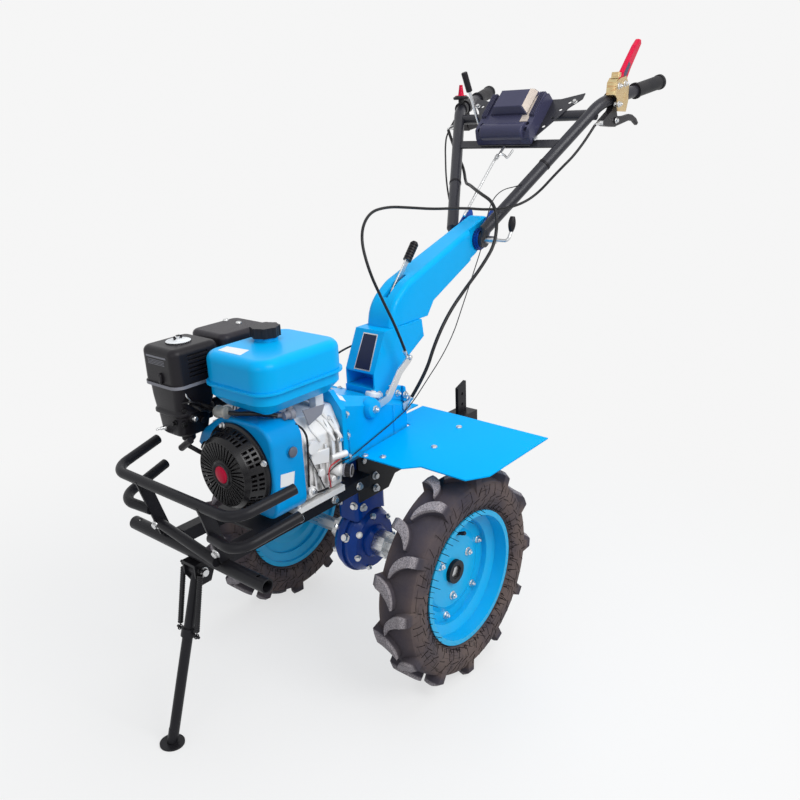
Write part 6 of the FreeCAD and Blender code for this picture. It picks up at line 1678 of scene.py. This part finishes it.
@dataclass
class Studio:
    """The pale floor, the soft lamps and the camera."""

    background: float = 0.92
    bounce: float = 0.5
    glow: Spot = (0.9, 0.95, 1.0)
    glow_strength: float = 0.46
    floor_radius: float = 14.0
    floor_gap: float = 0.0015
    shadow_reach: tuple[float, float] = (0.5, 2.0)
    aim: Spot = (0.05, 0, 0.6)
    camera_place: Spot = (1.565, 1.251, 1.164)
    azimuth: float = 128.95
    pitch: float = 15.76
    roll: float = -1.03
    lens: float = 35.39
    sensor: float = 36.0
    # Each lamp's name, place, width and power, and whether gloss shows it.
    lamps: tuple[tuple[str, Spot, float, float, bool], ...] = (
        ("key", (0.5, 2.4, 2.6), 1.8, 55.0, True), ("top", (-0.4, 0.3, 3.4), 2.4, 28.0, False),
        ("front", (3.0, 0.9, 1.5), 1.2, 8.0, True), ("rim", (-2.6, -1.6, 2.4), 1.8, 30.0, False))

    def camera(self) -> None:
        """Sets the camera."""
        turn, dip, tilt = (math.radians(angle) for angle in (self.azimuth, self.pitch, self.roll))
        level = Vector((-math.sin(turn), math.cos(turn), 0))
        up = Vector((0, 0, 1))
        right = level.cross(up)
        ahead = level * math.cos(dip) - up * math.sin(dip)
        down = -up * math.cos(dip) - level * math.sin(dip)
        across = right * math.cos(tilt) + down * math.sin(tilt)
        below = down * math.cos(tilt) - right * math.sin(tilt)
        data = bpy.data.cameras.new("camera")
        data.sensor_width = self.sensor
        data.lens = self.lens
        made = placed("camera", data)
        made.matrix_world = Matrix((
            (across.x, -below.x, -ahead.x, self.camera_place[0]),
            (across.y, -below.y, -ahead.y, self.camera_place[1]),
            (across.z, -below.z, -ahead.z, self.camera_place[2]), (0, 0, 0, 1)))
        bpy.context.scene.camera = made

    def lamp(self, name: str, place: Spot, size: float, power: float, seen: bool) -> None:
        """Adds a square lamp that looks at the machine's middle.

        Args:
            name: Its name.
            place: Where it stands.
            size: How wide it is.
            power: Its power.
            seen: Whether gloss shows it.
        """
        data = bpy.data.lights.new(name, "AREA")
        data.shape = "SQUARE"
        data.size = size
        data.energy = power
        made = placed(name, data)
        made.visible_glossy = seen
        made.location = place
        made.rotation_euler = (Vector(self.aim) - Vector(place)).to_track_quat("-Z", "Y").to_euler()

    def sky(self) -> None:
        """The even light all round, and the pale background that the camera sees."""
        world = bpy.data.worlds.new("studio")
        bpy.context.scene.world = world
        world.use_nodes = True
        graph = Graph(world.node_tree)
        glow = graph.add("Background", {"Color": self.glow, "Strength": self.glow_strength})
        pale = graph.add("Background", {"Color": (self.background,) * 3, "Strength": 1.0})
        both = graph.add("MixShader", {0: graph.seen(), 1: glow.outputs[0], 2: pale.outputs[0]})
        graph.add("OutputWorld", {"Surface": both.outputs[0]})

    def floor(self) -> None:
        """The pale floor, which keeps the machine's soft shadow near it."""
        work = bmesh.new()
        bmesh.ops.create_circle(work, cap_ends=True, segments=64, radius=self.floor_radius)
        data = bpy.data.meshes.new("floor")
        work.to_mesh(data)
        work.free()
        made = placed("floor", data)
        made.location.z = -self.floor_gap
        material = bpy.data.materials.new("floor")
        material.use_nodes = True
        graph = Graph(material.node_tree)
        place = graph.add("TexCoord").outputs["Object"]
        distance = graph.add("VectorMath", {0: place}, operation="LENGTH").outputs["Value"]
        seen = graph.seen()
        share = graph.maths("MULTIPLY", seen, graph.ramp(distance, *self.shadow_reach, 0.7, 1.0))
        tone = graph.mix(seen, (self.bounce,) * 3, (self.background,) * 3)
        plain = graph.add("BsdfDiffuse", {"Color": tone})
        glow = graph.add("Emission", {"Color": (self.background,) * 3, "Strength": 1.0})
        both = graph.add("MixShader", {0: share, 1: plain.outputs[0], 2: glow.outputs[0]})
        graph.add("OutputMaterial", {"Surface": both.outputs[0]})
        data.materials.append(material)

    def build(self) -> None:
        """Builds the studio."""
        self.camera()
        self.sky()
        self.floor()
        for lamp in self.lamps:
            self.lamp(*lamp)
        bpy.context.scene.view_settings.view_transform = "Standard"


def main() -> None:
    """Builds the scene in order."""
    logging.basicConfig(level=logging.INFO, format="%(name)s: %(message)s")
    for name in ("Cube", "Light", "Camera"):
        if name in bpy.data.objects:
            bpy.data.objects.remove(bpy.data.objects[name])
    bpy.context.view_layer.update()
    Studio().build()
    paintwork = Frame()
    paintwork.dress()
    paintwork.touch_up()
    for part in (Cables(), Wheels(), Transmission(), Engine(), Guard(), Fenders(), Handlebar()):
        part.build()
        log.info("built %s", type(part).__name__.lower())


if __name__ == "__main__":
    main()
